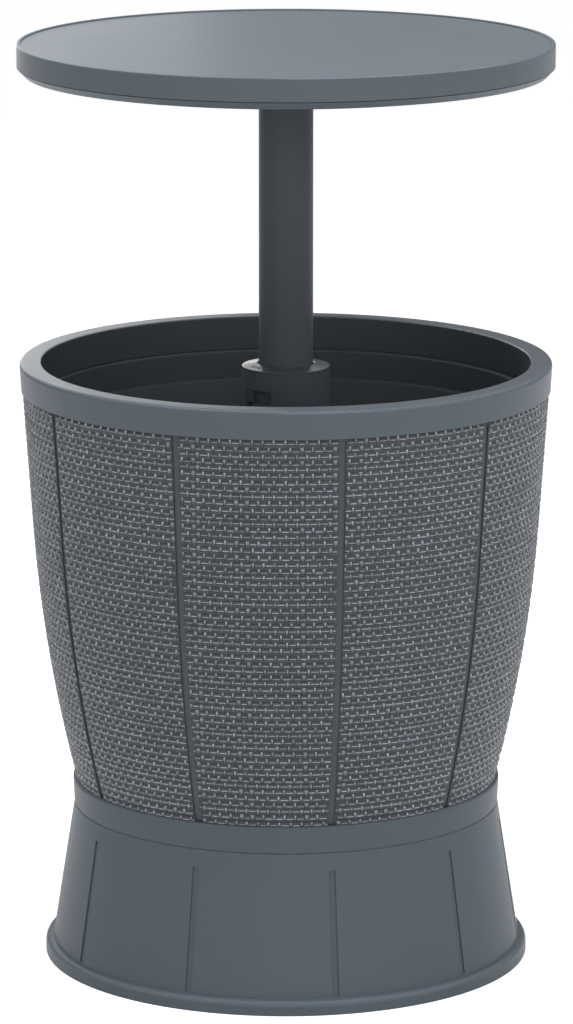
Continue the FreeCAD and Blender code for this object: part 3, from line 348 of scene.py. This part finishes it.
def weave_tree(barrel, weave, band, upright):
    """Lays level bands and upright strands over and under each other on one panel of the barrel.

    Band and upright are each a strand form and its material.
    """
    tree = bpy.data.node_groups.new("Panel weave", "GeometryNodeTree")
    maker = TreeMaker(tree)
    tree.interface.new_socket("Geometry", in_out="OUTPUT", socket_type="NodeSocketGeometry")
    values = maker.named_inputs((
        ("Panel direction", "NodeSocketFloat", 0.0),
        ("Row pitch", "NodeSocketFloat", weave.row_pitch),
        ("Strand pitch", "NodeSocketFloat", weave.strand_pitch),
        ("Band rise", "NodeSocketFloat", weave.band_rise),
        ("Strand rise", "NodeSocketFloat", weave.strand_rise),
        ("Seed", "NodeSocketInt", weave.seed),
    ))
    row_pitch = values["Row pitch"]
    strand_pitch = values["Strand pitch"]
    place_seed = values["Seed"]
    row_seed = place_seed + 1.0
    width_seed = place_seed + 2.0
    shade_seed = place_seed + 3.0
    first_upright_key = 500000.0

    half_panel = math.pi / barrel.panels
    spare_columns = 2
    rows = math.ceil((barrel.top_height - weave.bottom) / weave.row_pitch)
    columns = math.ceil(2 * half_panel * barrel.top_radius / weave.strand_pitch) + spare_columns

    index = maker.out(maker.node("GeometryNodeInputIndex"))
    row = maker.math("FLOOR", index / float(columns))
    column = index - row * float(columns)

    def strand_at(number):
        stray = maker.random(-weave.strand_spread, weave.strand_spread, number, place_seed)
        return (number - (columns - 1) / 2 + stray) * strand_pitch

    def is_wide(number):
        return maker.math("LESS_THAN", maker.random(0.0, 1.0, number, width_seed), weave.wide_share)

    def width_at(number):
        return is_wide(number) * (weave.wide_width - weave.strand_width) + weave.strand_width

    def row_at(number):
        key = maker.math("FLOORED_MODULO", number, float(weave.row_repeat))
        stray = maker.random(-weave.row_spread, weave.row_spread, key, row_seed)
        return (number + 0.5 + stray) * row_pitch + weave.bottom

    height = row_at(row)
    below = row_at(row - 1.0)
    above = row_at(row + 1.0)
    radius, _ = barrel_line(maker, barrel, height)
    limit = radius * half_panel - barrel.groove_width / 2
    here = strand_at(column)
    left = maker.math("MAXIMUM", strand_at(column - 1.0) + width_at(column - 1.0) / 2.0, -limit)
    right = maker.math("MINIMUM", strand_at(column + 1.0) - width_at(column + 1.0) / 2.0, limit)
    crossing = maker.math("FLOORED_MODULO", row + column, 2.0)

    band_length = right - left
    band_height = (above - below) * (weave.band_fill / 2)
    is_band = maker.math("LESS_THAN", crossing, 0.5)
    band_fits = maker.math("GREATER_THAN", band_length, weave.strand_width)
    band_place = (left + right) / 2.0

    upright_width = width_at(column)
    upright_fits = maker.math("LESS_THAN", maker.math("ABSOLUTE", here) + upright_width / 2.0, limit)
    upright_height = above - below
    upright_middle = (above + below) / 2.0

    points = maker.node("GeometryNodePoints", {"Count": rows * columns})
    parts = []
    for (form, material), chosen, across, up, scale in (
        (band, is_band * band_fits, band_place, height,
         (band_length / 2.0, band_height / 2.0, values["Band rise"])),
        (upright, (1.0 - is_band) * upright_fits, here, upright_middle,
         (upright_height / 2.0, upright_width / 2.0, values["Strand rise"])),
    ):
        is_upright = form is upright[0]
        part_radius, part_growth = barrel_line(maker, barrel, up)
        angle = across / part_radius + values["Panel direction"]
        cosine = maker.math("COSINE", angle)
        sine = maker.math("SINE", angle)
        place = maker.vector(part_radius * cosine, part_radius * sine, up)
        outward = maker.vector(cosine, sine, -part_growth)
        sideways = maker.vector(-sine, cosine, 0.0)
        upward = maker.vector(cosine * part_growth, sine * part_growth, 1.0)
        moved = maker.node("GeometryNodeSetPosition", {"Geometry": points.outputs[0], "Position": place})
        turned = maker.node("FunctionNodeAxesToRotation", {
            "Primary Axis": outward, "Secondary Axis": upward if is_upright else sideways,
        }, primary_axis="Z", secondary_axis="X")
        source = maker.node("GeometryNodeObjectInfo", {"Object": form, "As Instance": True})
        key = index + (first_upright_key if is_upright else 0.0)
        shade = maker.random(0.0, 1.0, key, shade_seed)
        if is_upright:
            # Wide strands are held darker, which also dims the painted highlight on their heads
            shade = shade * (1.0 - is_wide(column) * weave.wide_dulling)
        shaded = maker.node("GeometryNodeStoreNamedAttribute", {
            "Geometry": moved.outputs[0], "Name": "shade", "Value": shade,
        }, data_type="FLOAT", domain="POINT")
        laid = maker.node("GeometryNodeInstanceOnPoints", {
            "Points": shaded.outputs[0], "Selection": maker.math("GREATER_THAN", chosen, 0.5),
            "Instance": source.outputs["Geometry"], "Rotation": turned.outputs[0],
            "Scale": maker.vector(*scale),
        })
        real = maker.node("GeometryNodeRealizeInstances", {"Geometry": laid.outputs[0]})
        finished = maker.node("GeometryNodeSetMaterial", {"Geometry": real.outputs[0], "Material": material})
        parts.append(finished.outputs[0])
    joined = maker.node("GeometryNodeJoinGeometry")
    for part in parts:
        tree.links.new(part, joined.inputs[0])
    leave = maker.node("NodeGroupOutput")
    tree.links.new(joined.outputs[0], leave.inputs[0])
    return tree


def grown_mesh(tree, name, inputs):
    """Evaluates a tree on an empty object and returns the result as a plain piece."""
    carrier = bpy.data.objects.new(name, bpy.data.meshes.new(name + " seed"))
    bpy.context.scene.collection.objects.link(carrier)
    modifier = carrier.modifiers.new("Growth", "NODES")
    modifier.node_group = tree
    for item in tree.interface.items_tree:
        if item.in_out == "INPUT" and item.name in inputs:
            modifier[item.identifier] = inputs[item.name]
    carrier.update_tag()
    bpy.context.view_layer.update()
    graph = bpy.context.evaluated_depsgraph_get()
    mesh = bpy.data.meshes.new_from_object(carrier.evaluated_get(graph), depsgraph=graph)
    carrier.modifiers.remove(modifier)
    old = carrier.data
    carrier.data = mesh
    mesh.name = name
    bpy.data.meshes.remove(old)
    return carrier


# Finishes


def new_material(name):
    material = bpy.data.materials.new(name)
    material.use_nodes = True
    maker = TreeMaker(material.node_tree)
    shader = next(n for n in material.node_tree.nodes if n.type == "BSDF_PRINCIPLED")
    return material, maker, shader


def blend(maker, factor, first, second):
    """First where the factor is 0, second where it is 1. Both are colours or sockets."""
    first, second = ((*c, 1) if isinstance(c, tuple) else c for c in (first, second))
    node = maker.node("ShaderNodeMix", {
        "Factor_Float": factor, "A_Color": first, "B_Color": second}, data_type="RGBA")
    return maker.out(node, "Result_Color")


def shade_range(maker, factor, colour, variation):
    """The colour, a little darker where the factor is 0 and lighter where it is 1."""
    return blend(maker, factor, scaled_colour(colour, 1 - variation), scaled_colour(colour, 1 + variation))


def scaled_colour(colour, share):
    return tuple(min(1.0, channel * share) for channel in colour)


def object_place(maker):
    """The place on the piece, in metres."""
    return maker.out(maker.node("ShaderNodeTexCoord"), "Object")


def noise(maker, place, size, detail=2.0):
    """Soft random values from 0 to 1 that change over the size."""
    return maker.out(maker.node("ShaderNodeTexNoise", {"Vector": place, "Scale": 1 / size, "Detail": detail}))


def finish_shader(maker, shader, colour, roughness, bump_strength, bump_depth, height):
    """Gives a shader its colour and roughness, and bumps it by a height from 0 to 1."""
    maker.feed(shader.inputs["Base Color"], colour)
    maker.feed(shader.inputs["Roughness"], roughness)
    bump = maker.node("ShaderNodeBump", {
        "Strength": bump_strength, "Distance": bump_depth, "Height": height})
    maker.feed(shader.inputs["Normal"], bump.outputs[0])


def round_edges(*edges):
    """Says how near a place is to edges that run round the axis, each given by radius, height and reach."""

    def mask(maker, place):
        x, y, z = maker.split(place)
        radius = maker.diagonal(x, y)
        near = 0.0
        for edge_radius, edge_height, reach in edges:
            away = maker.diagonal(radius - edge_radius, z - edge_height)
            near = maker.math("MAXIMUM", near, maker.soft_step(away, reach, 0.0))
        return near

    return mask


def inner_wall_mask(wall_radius):
    """Says where the smooth inner wall of the rim is, inside the radius."""

    def mask(maker, place):
        x, y, _ = maker.split(place)
        return maker.math("LESS_THAN", maker.diagonal(x, y), wall_radius)

    return mask


def groove_mask(barrel):
    """Says where the smooth upright grooves of the barrel are."""
    half_panel = math.pi / barrel.panels

    def mask(maker, place):
        x, y, _ = maker.split(place)
        angle = maker.math("ARCTAN2", y, x) - barrel.first_panel
        turn = maker.math("FLOORED_MODULO", angle, 2 * half_panel) - half_panel
        away = maker.math("ABSOLUTE", turn) * maker.diagonal(x, y)
        return maker.math("LESS_THAN", away, barrel.groove_width / 2)

    return mask


def moulded_plastic(name, colour, roughness, grain, grain_depth, specular=0.5, patch=None, edges=None):
    """Satin moulded plastic with grain, flow marks and uneven gloss.

    A patch is a mask and its colour. Edges are a mask of edges that get a painted highlight, a lighter
    colour, and a polish that lowers the roughness.
    """
    cloud_size = 0.09
    variation = 0.05
    unevenness = 0.06
    highlight_share = 0.8
    highlight_brightness = 1.3
    polish_roughness = 0.32
    material, maker, shader = new_material(name)
    place = object_place(maker)
    cloud = noise(maker, place, cloud_size, detail=3.0)
    fine = noise(maker, place, grain)
    shade = shade_range(maker, cloud, colour, variation)
    if patch is not None:
        mask, patch_colour = patch
        shade = blend(maker, mask(maker, place), shade, shade_range(maker, cloud, patch_colour, variation))
    rough = cloud * unevenness + fine * unevenness + (roughness - unevenness)
    if edges is not None:
        highlight_and_polish = edges(maker, place)
        # Painted highlight: the colour is blended towards a lighter one along the edges
        shade = blend(maker, highlight_and_polish * highlight_share, shade, scaled_colour(colour, highlight_brightness))
        rough = rough - highlight_and_polish * (roughness - polish_roughness)
    shader.inputs["Specular IOR Level"].default_value = specular
    finish_shader(maker, shader, shade, rough, bump_strength=0.5, bump_depth=grain_depth, height=fine)
    return material


def between(maker, value, low, high, soft, low_soft=None):
    """1 where the value lies between low and high, with soft edges."""
    if low_soft is None:
        low_soft = soft
    enter = maker.soft_step(value, low - low_soft, low + low_soft)
    leave = maker.soft_step(value, high - soft, high + soft)
    return enter - leave


def strand_plastic(name, colour, highlight_colour, highlight_place, painted_shade_place):
    """Moulded strands: each a little lighter or darker, ribbed, with a painted highlight on its ridge and a
    painted shadow in its crease.

    A place is a list of boxes: the attribute's name, its range, how soft the range's ends are and, where it
    differs, how soft its low end is.
    """
    grain = 0.0004
    ribs_across = 3.5
    strand_part, small_part = 0.75, 0.25
    body_variation = 0.12
    highlight_variation = 0.42
    painted_shade_variation = 0.1
    painted_shade_brightness = 0.25
    smoothest, unevenness = 0.31, 0.10
    specular = 0.3
    rib_relief, grain_relief = 0.7, 0.3
    material, maker, shader = new_material(name)

    def strand(label):
        return maker.out(maker.node("ShaderNodeAttribute", attribute_name=label), "Fac")

    def mask(boxes):
        share = 1.0
        for label, *limits in boxes:
            share = between(maker, strand(label), *limits) * share
        return share

    shade = strand("shade")
    ribs = maker.math("SINE", strand("across") * (ribs_across * math.pi)) * 0.5 + 0.5
    fine = noise(maker, object_place(maker), grain)
    body = shade_range(maker, shade * strand_part + ribs * small_part, colour, body_variation)
    # Painted highlight on the ridge or head
    ridge_highlight = shade_range(maker, shade * strand_part + fine * small_part, highlight_colour, highlight_variation)
    # Painted shadow in the crease
    painted_shade = shade_range(maker, shade, scaled_colour(colour, painted_shade_brightness), painted_shade_variation)
    highlit = blend(maker, mask(highlight_place), body, ridge_highlight)
    with_painted_shade = blend(maker, mask(painted_shade_place), highlit, painted_shade)
    shader.inputs["Specular IOR Level"].default_value = specular
    finish_shader(
        maker, shader, with_painted_shade, fine * unevenness + smoothest,
        bump_strength=0.6, bump_depth=0.00008, height=ribs * rib_relief + fine * grain_relief)
    return material


def rubber(name, colour):
    """Matte rubber with a fine dull grain."""
    grain = 0.0003
    darkest, brightest = 0.8, 1.3
    smoothest, unevenness = 0.72, 0.1
    material, maker, shader = new_material(name)
    fine = noise(maker, object_place(maker), grain, detail=3.0)
    shade = blend(maker, fine, scaled_colour(colour, darkest), scaled_colour(colour, brightest))
    finish_shader(
        maker, shader, shade, fine * unevenness + smoothest,
        bump_strength=0.4, bump_depth=0.00004, height=fine)
    return material


def zinc_plate(name, colour):
    """Bright zinc plating with faint turning lines and cloudy spangle."""
    spangle_size = 0.002
    line_size = 0.0002
    variation = 0.1
    smoothest, unevenness = 0.26, 0.12
    material, maker, shader = new_material(name)
    place = object_place(maker)
    cloud = noise(maker, place, spangle_size)
    lines = noise(maker, place, line_size, detail=1.0)
    shader.inputs["Metallic"].default_value = 1.0
    finish_shader(
        maker, shader, shade_range(maker, cloud, colour, variation), cloud * unevenness + smoothest,
        bump_strength=0.25, bump_depth=0.00002, height=lines)
    return material


def finish_nodes(material, *names):
    for name in names:
        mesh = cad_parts[name].data
        mesh.materials.clear()
        mesh.materials.append(material)


# Operators


class COOLER_OT_base(bpy.types.Operator):
    """Gives the base, rim and tabletop their satin slate plastic"""

    bl_idname = "cooler.base"
    bl_label = "Base, Rim and Tabletop"

    def execute(self, context):
        colours = context.scene.cooler_finish
        # Each edge has its radius, its height and how far its painted highlight and polish reach
        foot_edge = (0.2241, 0.0114, 0.0040)
        rim_outer_edge = (0.24425, 0.5596, 0.0022)
        rim_inner_edge = (0.2259, 0.5601, 0.0014)
        table_outer_edge = (0.24485, 0.8539, 0.0014)
        table_bead_edge = (0.24185, 0.8539, 0.0010)
        inner_wall_radius = 0.2255
        satin = {
            "colour": colours.slate, "roughness": colours.roughness,
            "grain": colours.grain, "grain_depth": 0.00004}
        base = moulded_plastic(
            "Base plastic", **satin, specular=colours.base_gloss, edges=round_edges(foot_edge))
        rim = moulded_plastic(
            "Rim plastic", **satin, specular=colours.gloss,
            patch=(inner_wall_mask(inner_wall_radius), colours.liner),
            edges=round_edges(rim_outer_edge, rim_inner_edge))
        table = moulded_plastic(
            "Table plastic", **satin, specular=colours.gloss,
            edges=round_edges(table_outer_edge, table_bead_edge))
        finish_nodes(base, "base_skirt")
        finish_nodes(rim, "rim_ring")
        finish_nodes(table, "table_top", "table_underside")
        return {"FINISHED"}


class COOLER_OT_weave(bpy.types.Operator):
    """Lays the moulded weave on the ten panels of the barrel"""

    bl_idname = "cooler.weave"
    bl_label = "Woven Barrel"

    def execute(self, context):
        barrel = context.scene.cooler_barrel
        weave = context.scene.cooler_weave
        colours = context.scene.cooler_finish
        # The ground carries painted shade for the gaps between the strands
        painted_shade_ground = moulded_plastic(
            "Barrel plastic", colours.painted_shade_ground, roughness=0.5, grain=colours.grain, grain_depth=0.00004,
            specular=0.15, patch=(groove_mask(barrel), colours.groove))
        finish_nodes(painted_shade_ground, "outer_shell")
        band = strand_form(
            "Band form",
            stations=((-1.0, -0.5), (-0.94, 0.2), (-0.84, 0.85), (0.84, 0.85), (0.94, 0.2), (1.0, -0.5)),
            profile=(
                (-1.0, -0.5), (-0.94, 0.26), (-0.08, 0.32), (-0.02, 0.92),
                (0.05, 1.0), (0.34, 0.36), (0.94, 0.26), (1.0, -0.5)),
            sharp=(2, 5))
        # Painted highlight on the upper facet of each band, painted shadow in the crease below it
        band_plastic = strand_plastic(
            "Level strands", colours.weave, colours.ridge_highlight,
            highlight_place=[("across", 0.04, 0.27, 0.03), ("along", -0.86, 0.88, 0.03, 0.25)],
            painted_shade_place=[("across", -0.26, -0.01, 0.03), ("along", -0.92, 0.92, 0.03)])
        upright = strand_form(
            "Upright form",
            stations=(
                (-0.62, -0.6), (-0.42, 0.25), (0.0, 0.85), (0.30, 1.0), (0.52, 0.35), (0.60, -0.1),
                (0.66, -0.6)),
            profile=((-1.0, -0.5), (-0.72, 0.7), (0.0, 1.0), (0.72, 0.7), (1.0, -0.5)))
        # Painted highlight on each strand's head, painted shadow at its top end where it dives under the band
        # above
        upright_plastic = strand_plastic(
            "Upright strands", colours.weave, colours.head,
            highlight_place=[("along", 0.16, 0.54, 0.02, 0.42), ("across", -0.9, 0.9, 0.05)],
            painted_shade_place=[("along", 0.56, 0.75, 0.02)])
        tree = weave_tree(barrel, weave, (band, band_plastic), (upright, upright_plastic))
        for number in range(barrel.panels):
            direction = barrel.first_panel + math.tau * number / barrel.panels
            panel = grown_mesh(tree, f"weave_panel_{number + 1}", {"Panel direction": direction})
            if len(panel.data.polygons) == 0:
                raise RuntimeError("the weave came out empty")
            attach(panel, "cooler")
        for form in (band, upright):
            mesh = form.data
            bpy.data.objects.remove(form)
            bpy.data.meshes.remove(mesh)
        return {"FINISHED"}


class COOLER_OT_tub(bpy.types.Operator):
    """Gives the tub, sleeve, cap and drain their smooth dark plastic"""

    bl_idname = "cooler.tub"
    bl_label = "Tub, Sleeve and Drain"

    def execute(self, context):
        colours = context.scene.cooler_finish
        # Painted light: the sleeve is a lighter copy of the liner plastic
        sleeve_painted_light = 1.18
        smooth = {"grain": colours.grain, "grain_depth": 0.00002, "specular": 0.3}
        liner = moulded_plastic("Liner plastic", colours.liner, roughness=0.5, **smooth)
        sleeve = moulded_plastic(
            "Sleeve plastic", scaled_colour(colours.liner, sleeve_painted_light), roughness=0.45, **smooth)
        cap = moulded_plastic(
            "Cap plastic", colours.cap, roughness=0.27, grain=colours.grain, grain_depth=0.000002)
        finish_nodes(liner, "inner_tub", "drain_spout")
        finish_nodes(sleeve, "centre_sleeve")
        finish_nodes(cap, "sleeve_cap")
        return {"FINISHED"}


class COOLER_OT_marks(bpy.types.Operator):
    """Raises a closed lock, an open lock and an arrow on the sleeve's cap"""

    bl_idname = "cooler.marks"
    bl_label = "Lock Marks"

    def execute(self, context):
        marks = context.scene.cooler_marks
        colours = context.scene.cooler_finish
        # Each outline has places along its length and half its width there, in units of the mark's height
        body = [(-0.50, 0.30), (-0.47, 0.34), (-0.43, 0.36), (-0.07, 0.36), (-0.03, 0.34), (0.0, 0.30)]
        body_sides = [(-half, y) for y, half in body], [(half, y) for y, half in body]
        arrow = [(0.62, 0.055), (-0.10, 0.055), (-0.10, 0.20), (-0.36, 0.10), (-0.62, 0.004)]
        arrow_sides = [(x, -half) for x, half in arrow], [(x, half) for x, half in arrow]
        middle = (marks.locked_direction + marks.open_direction) / 2
        mesh = bmesh.new()
        self.raise_strip(mesh, marks, marks.locked_direction, body_sides)
        self.raise_strip(mesh, marks, marks.locked_direction, self.shackle(shift=0.0, free_end=-0.03))
        self.raise_strip(mesh, marks, marks.open_direction, body_sides)
        self.raise_strip(mesh, marks, marks.open_direction, self.shackle(shift=-0.42, free_end=0.08))
        self.raise_strip(mesh, marks, middle, arrow_sides)
        bmesh.ops.recalc_face_normals(mesh, faces=mesh.faces)
        data = bpy.data.meshes.new("lock_marks")
        mesh.to_mesh(data)
        mesh.free()
        data.materials.append(moulded_plastic(
            "Lock mark print", colours.marks, roughness=0.5, grain=colours.grain, grain_depth=0.00001))
        piece = bpy.data.objects.new("lock_marks", data)
        context.scene.collection.objects.link(piece)
        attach(piece, "cooler")
        return {"FINISHED"}

    def shackle(self, shift, free_end):
        """Outer and inner side of a lock's shackle. The leg on the left ends at free_end."""
        steps = 12
        outer_radius, inner_radius = 0.26, 0.16
        bend_height = 0.16
        fixed_end = -0.03
        turns = [math.pi * i / steps for i in range(steps + 1)]
        sides = []
        for radius in (outer_radius, inner_radius):
            side = [(radius + shift, fixed_end)]
            side += [(radius * math.cos(t) + shift, bend_height + radius * math.sin(t)) for t in turns]
            side.append((-radius + shift, free_end))
            sides.append(side)
        return sides

    def raise_strip(self, mesh, marks, direction, sides):
        """A closed plate on the cap's sloping top, between two lines in units of the mark's height."""
        rows = []
        for line in sides:
            for rise in (marks.rise, -marks.rise):
                row = []
                for x, y in line:
                    radius = marks.circle - y * marks.size
                    angle = direction + x * marks.size / radius
                    height = marks.cap_edge_height + (marks.cap_edge_radius - radius) * marks.cap_slope + rise
                    row.append(mesh.verts.new((radius * math.cos(angle), radius * math.sin(angle), height)))
                rows.append(row)
        first_top, first_low, second_top, second_low = rows
        for i in range(len(first_top) - 1):
            for a, b in ((first_top, second_top), (second_top, second_low), (second_low, first_low),
                         (first_low, first_top)):
                mesh.faces.new((a[i], a[i + 1], b[i + 1], b[i]))
        for i in (0, -1):
            mesh.faces.new((first_top[i], second_top[i], second_low[i], first_low[i]))


class COOLER_OT_pole(bpy.types.Operator):
    """Gives the pole and the pieces that guide it their finishes"""

    bl_idname = "cooler.pole"
    bl_label = "Pole and Its Guides"

    def execute(self, context):
        colours = context.scene.cooler_finish
        grain = colours.grain
        tube = moulded_plastic(
            "Pole plastic", colours.pole, roughness=0.45, grain=grain, grain_depth=0.00003, specular=0.12)
        foot = moulded_plastic(
            "Foot plastic", colours.cap, roughness=0.5, grain=grain, grain_depth=0.00003, specular=0.2)
        nylon = moulded_plastic("Nylon", colours.nylon, roughness=0.5, grain=grain, grain_depth=0.00002)
        finish_nodes(tube, "pole")
        finish_nodes(foot, "pole_foot")
        finish_nodes(nylon, "pole_bush", "pole_head", "drain_nut", "drain_plug")
        return {"FINISHED"}


class COOLER_OT_small_parts(bpy.types.Operator):
    """Gives the seals their rubber and the screws and pins their zinc"""

    bl_idname = "cooler.small_parts"
    bl_label = "Seals, Screws and Pins"

    def execute(self, context):
        colours = context.scene.cooler_finish
        finish_nodes(rubber("Seal rubber", colours.rubber), "brake_ring", "drain_gasket", "drain_plug_seal")
        finish_nodes(
            zinc_plate("Zinc plate", colours.zinc), "base_screws", "sleeve_screws", "pole_head_screws",
            "table_screws", "pole_foot_pin", "pole_head_pin")
        return {"FINISHED"}


class COOLER_OT_stage(bpy.types.Operator):
    """Sets up the camera, the pale floor, the lamps and the sky"""

    bl_idname = "cooler.stage"
    bl_label = "Studio"

    def execute(self, context):
        studio = context.scene.cooler_studio
        scene = context.scene
        scene.view_settings.view_transform = "Standard"
        self.add_camera(scene, studio)
        self.add_floor(scene, studio)
        middle = (0, 0, 0.5)
        rim_back = (-0.1, 0, 0.65)
        # Each lamp has its name, watts, place, target and size
        for name, power, place, target, size in (
            ("Top lamp", studio.top_lamp, (0, -0.2, 3.2), middle, (1.2, 1.2)),
            ("Left lamp", studio.left_lamp, (-1.269, -0.462, 2.838), middle, (1.0, 0.6)),
            ("Right lamp", studio.right_lamp, (1.169, -0.675, 2.838), middle, (1.0, 0.6)),
            ("Front lamp", studio.front_lamp, (0, -1.35, 2.838), middle, (1.0, 0.6)),
            ("Side lamp", studio.side_lamp, (2.41, -0.425, 1.641), middle, (1.0, 0.6)),
            ("Corner lamp", studio.corner_lamp, (1.915, -1.106, 2.049), middle, (1.0, 0.6)),
            ("Back lamp", studio.back_lamp, (-0.45, 1.05, 1.10), rim_back, (0.75, 0.40)),
            ("Low back lamp", studio.low_back_lamp, (-0.25, 1.05, 0.60), rim_back, (0.4, 0.3)),
            ("Far back lamp", studio.far_back_lamp, (-0.65, 1.6, 0.85), rim_back, (0.8, 0.4)),
        ):
            self.add_lamp(scene, name, power, place, target, size)
        self.add_sky(scene, studio)
        return {"FINISHED"}

    def add_camera(self, scene, studio):
        camera = bpy.data.objects.new("Camera", bpy.data.cameras.new("Camera"))
        camera.location = (studio.camera_side, -studio.camera_distance, studio.camera_height)
        camera.rotation_euler = (math.pi / 2 - studio.camera_tilt, 0, 0)
        camera.data.sensor_width = 36
        camera.data.lens = studio.focal_length
        camera.data.clip_end = 100
        scene.collection.objects.link(camera)
        scene.camera = camera

    def add_floor(self, scene, studio):
        reach = 12
        corners = [(-reach, -reach, 0), (reach, -reach, 0), (reach, reach, 0), (-reach, reach, 0)]
        mesh = bpy.data.meshes.new("studio_floor")
        mesh.from_pydata(corners, [], [(0, 1, 2, 3)])
        floor = bpy.data.objects.new("studio_floor", mesh)
        scene.collection.objects.link(floor)
        material = bpy.data.materials.new("Studio floor")
        material.use_nodes = True
        tree = material.node_tree
        tree.nodes.clear()
        maker = TreeMaker(tree)
        paper = maker.node("ShaderNodeBsdfDiffuse", {"Color": (*studio.floor, 1)})
        path = maker.node("ShaderNodeLightPath")
        seen = maker.math("MAXIMUM", maker.out(path, "Is Camera Ray"), maker.out(path, "Is Glossy Ray"))
        seen = maker.math("MAXIMUM", seen, maker.out(path, "Is Transmission Ray"))
        glow = maker.node("ShaderNodeEmission", {"Strength": seen * studio.floor_glow})
        both = maker.node("ShaderNodeAddShader", {0: paper.outputs[0], 1: glow.outputs[0]})
        end = maker.node("ShaderNodeOutputMaterial")
        tree.links.new(both.outputs[0], end.inputs["Surface"])
        mesh.materials.append(material)

    def add_lamp(self, scene, name, power, place, target, size):
        lamp = bpy.data.lights.new(name, "AREA")
        lamp.shape = "RECTANGLE"
        lamp.size, lamp.size_y = size
        lamp.energy = power
        holder = bpy.data.objects.new(name, lamp)
        holder.location = place
        holder.rotation_euler = (Vector(target) - Vector(place)).to_track_quat("-Z", "Y").to_euler()
        holder.visible_camera = False
        scene.collection.objects.link(holder)

    def add_sky(self, scene, studio):
        world = bpy.data.worlds.new("Studio sky")
        world.use_nodes = True
        scene.world = world
        tree = world.node_tree
        tree.nodes.clear()
        maker = TreeMaker(tree)
        horizon_end = (0.30, 0.50)
        belt_end = (0.65, 0.85)
        tiny = 0.000001
        direction = maker.out(maker.node("ShaderNodeTexCoord"), "Generated")
        x, y, climb = maker.split(direction)
        level = maker.math("MAXIMUM", x * x + y * y, tiny)
        over_horizon = maker.soft_step(climb, *horizon_end)
        over_belt = maker.soft_step(climb, *belt_end)

        def facing(axis, sign):
            share = maker.math("MAXIMUM", axis * sign, 0.0)
            return share * share / level

        front, back, right, left = facing(y, -1.0), facing(y, 1.0), facing(x, 1.0), facing(x, -1.0)
        horizon = 1.0 - over_horizon
        belt = over_horizon - over_belt
        low = front * studio.front_horizon + back * studio.back_horizon + right * studio.right_horizon
        middle = back * studio.back_sky + right * studio.right_sky + left * studio.left_sky
        strength = horizon * low + belt * middle
        sky = maker.node("ShaderNodeBackground", {"Color": (1, 1, 1, 1), "Strength": strength})
        end = maker.node("ShaderNodeOutputWorld")
        tree.links.new(sky.outputs[0], end.inputs["Surface"])


PIECES = (
    COOLER_OT_base,
    COOLER_OT_weave,
    COOLER_OT_tub,
    COOLER_OT_marks,
    COOLER_OT_pole,
    COOLER_OT_small_parts,
    COOLER_OT_stage,
)


class COOLER_PT_panel(bpy.types.Panel):
    """Lists the pieces of the cooler table"""

    bl_label = "Cooler Table"
    bl_idname = "COOLER_PT_panel"
    bl_space_type = "VIEW_3D"
    bl_region_type = "UI"
    bl_category = "Cooler Table"

    def draw(self, context):
        for piece in PIECES:
            self.layout.operator(piece.bl_idname)


GROUPS = (
    ("cooler_barrel", BarrelSizes),
    ("cooler_weave", WeaveSizes),
    ("cooler_marks", MarkSizes),
    ("cooler_finish", FinishColours),
    ("cooler_studio", StudioSizes),
)


def register():
    for _, group in GROUPS:
        bpy.utils.register_class(group)
    for name, group in GROUPS:
        setattr(bpy.types.Scene, name, bpy.props.PointerProperty(type=group))
    for cls in (*PIECES, COOLER_PT_panel):
        bpy.utils.register_class(cls)


def unregister():
    for cls in (COOLER_PT_panel, *reversed(PIECES)):
        bpy.utils.unregister_class(cls)
    for name, group in reversed(GROUPS):
        delattr(bpy.types.Scene, name)
        bpy.utils.unregister_class(group)


def main():
    register()
    for piece in PIECES:
        group, name = piece.bl_idname.split(".")
        getattr(getattr(bpy.ops, group), name)()


if __name__ == "__main__":
    main()
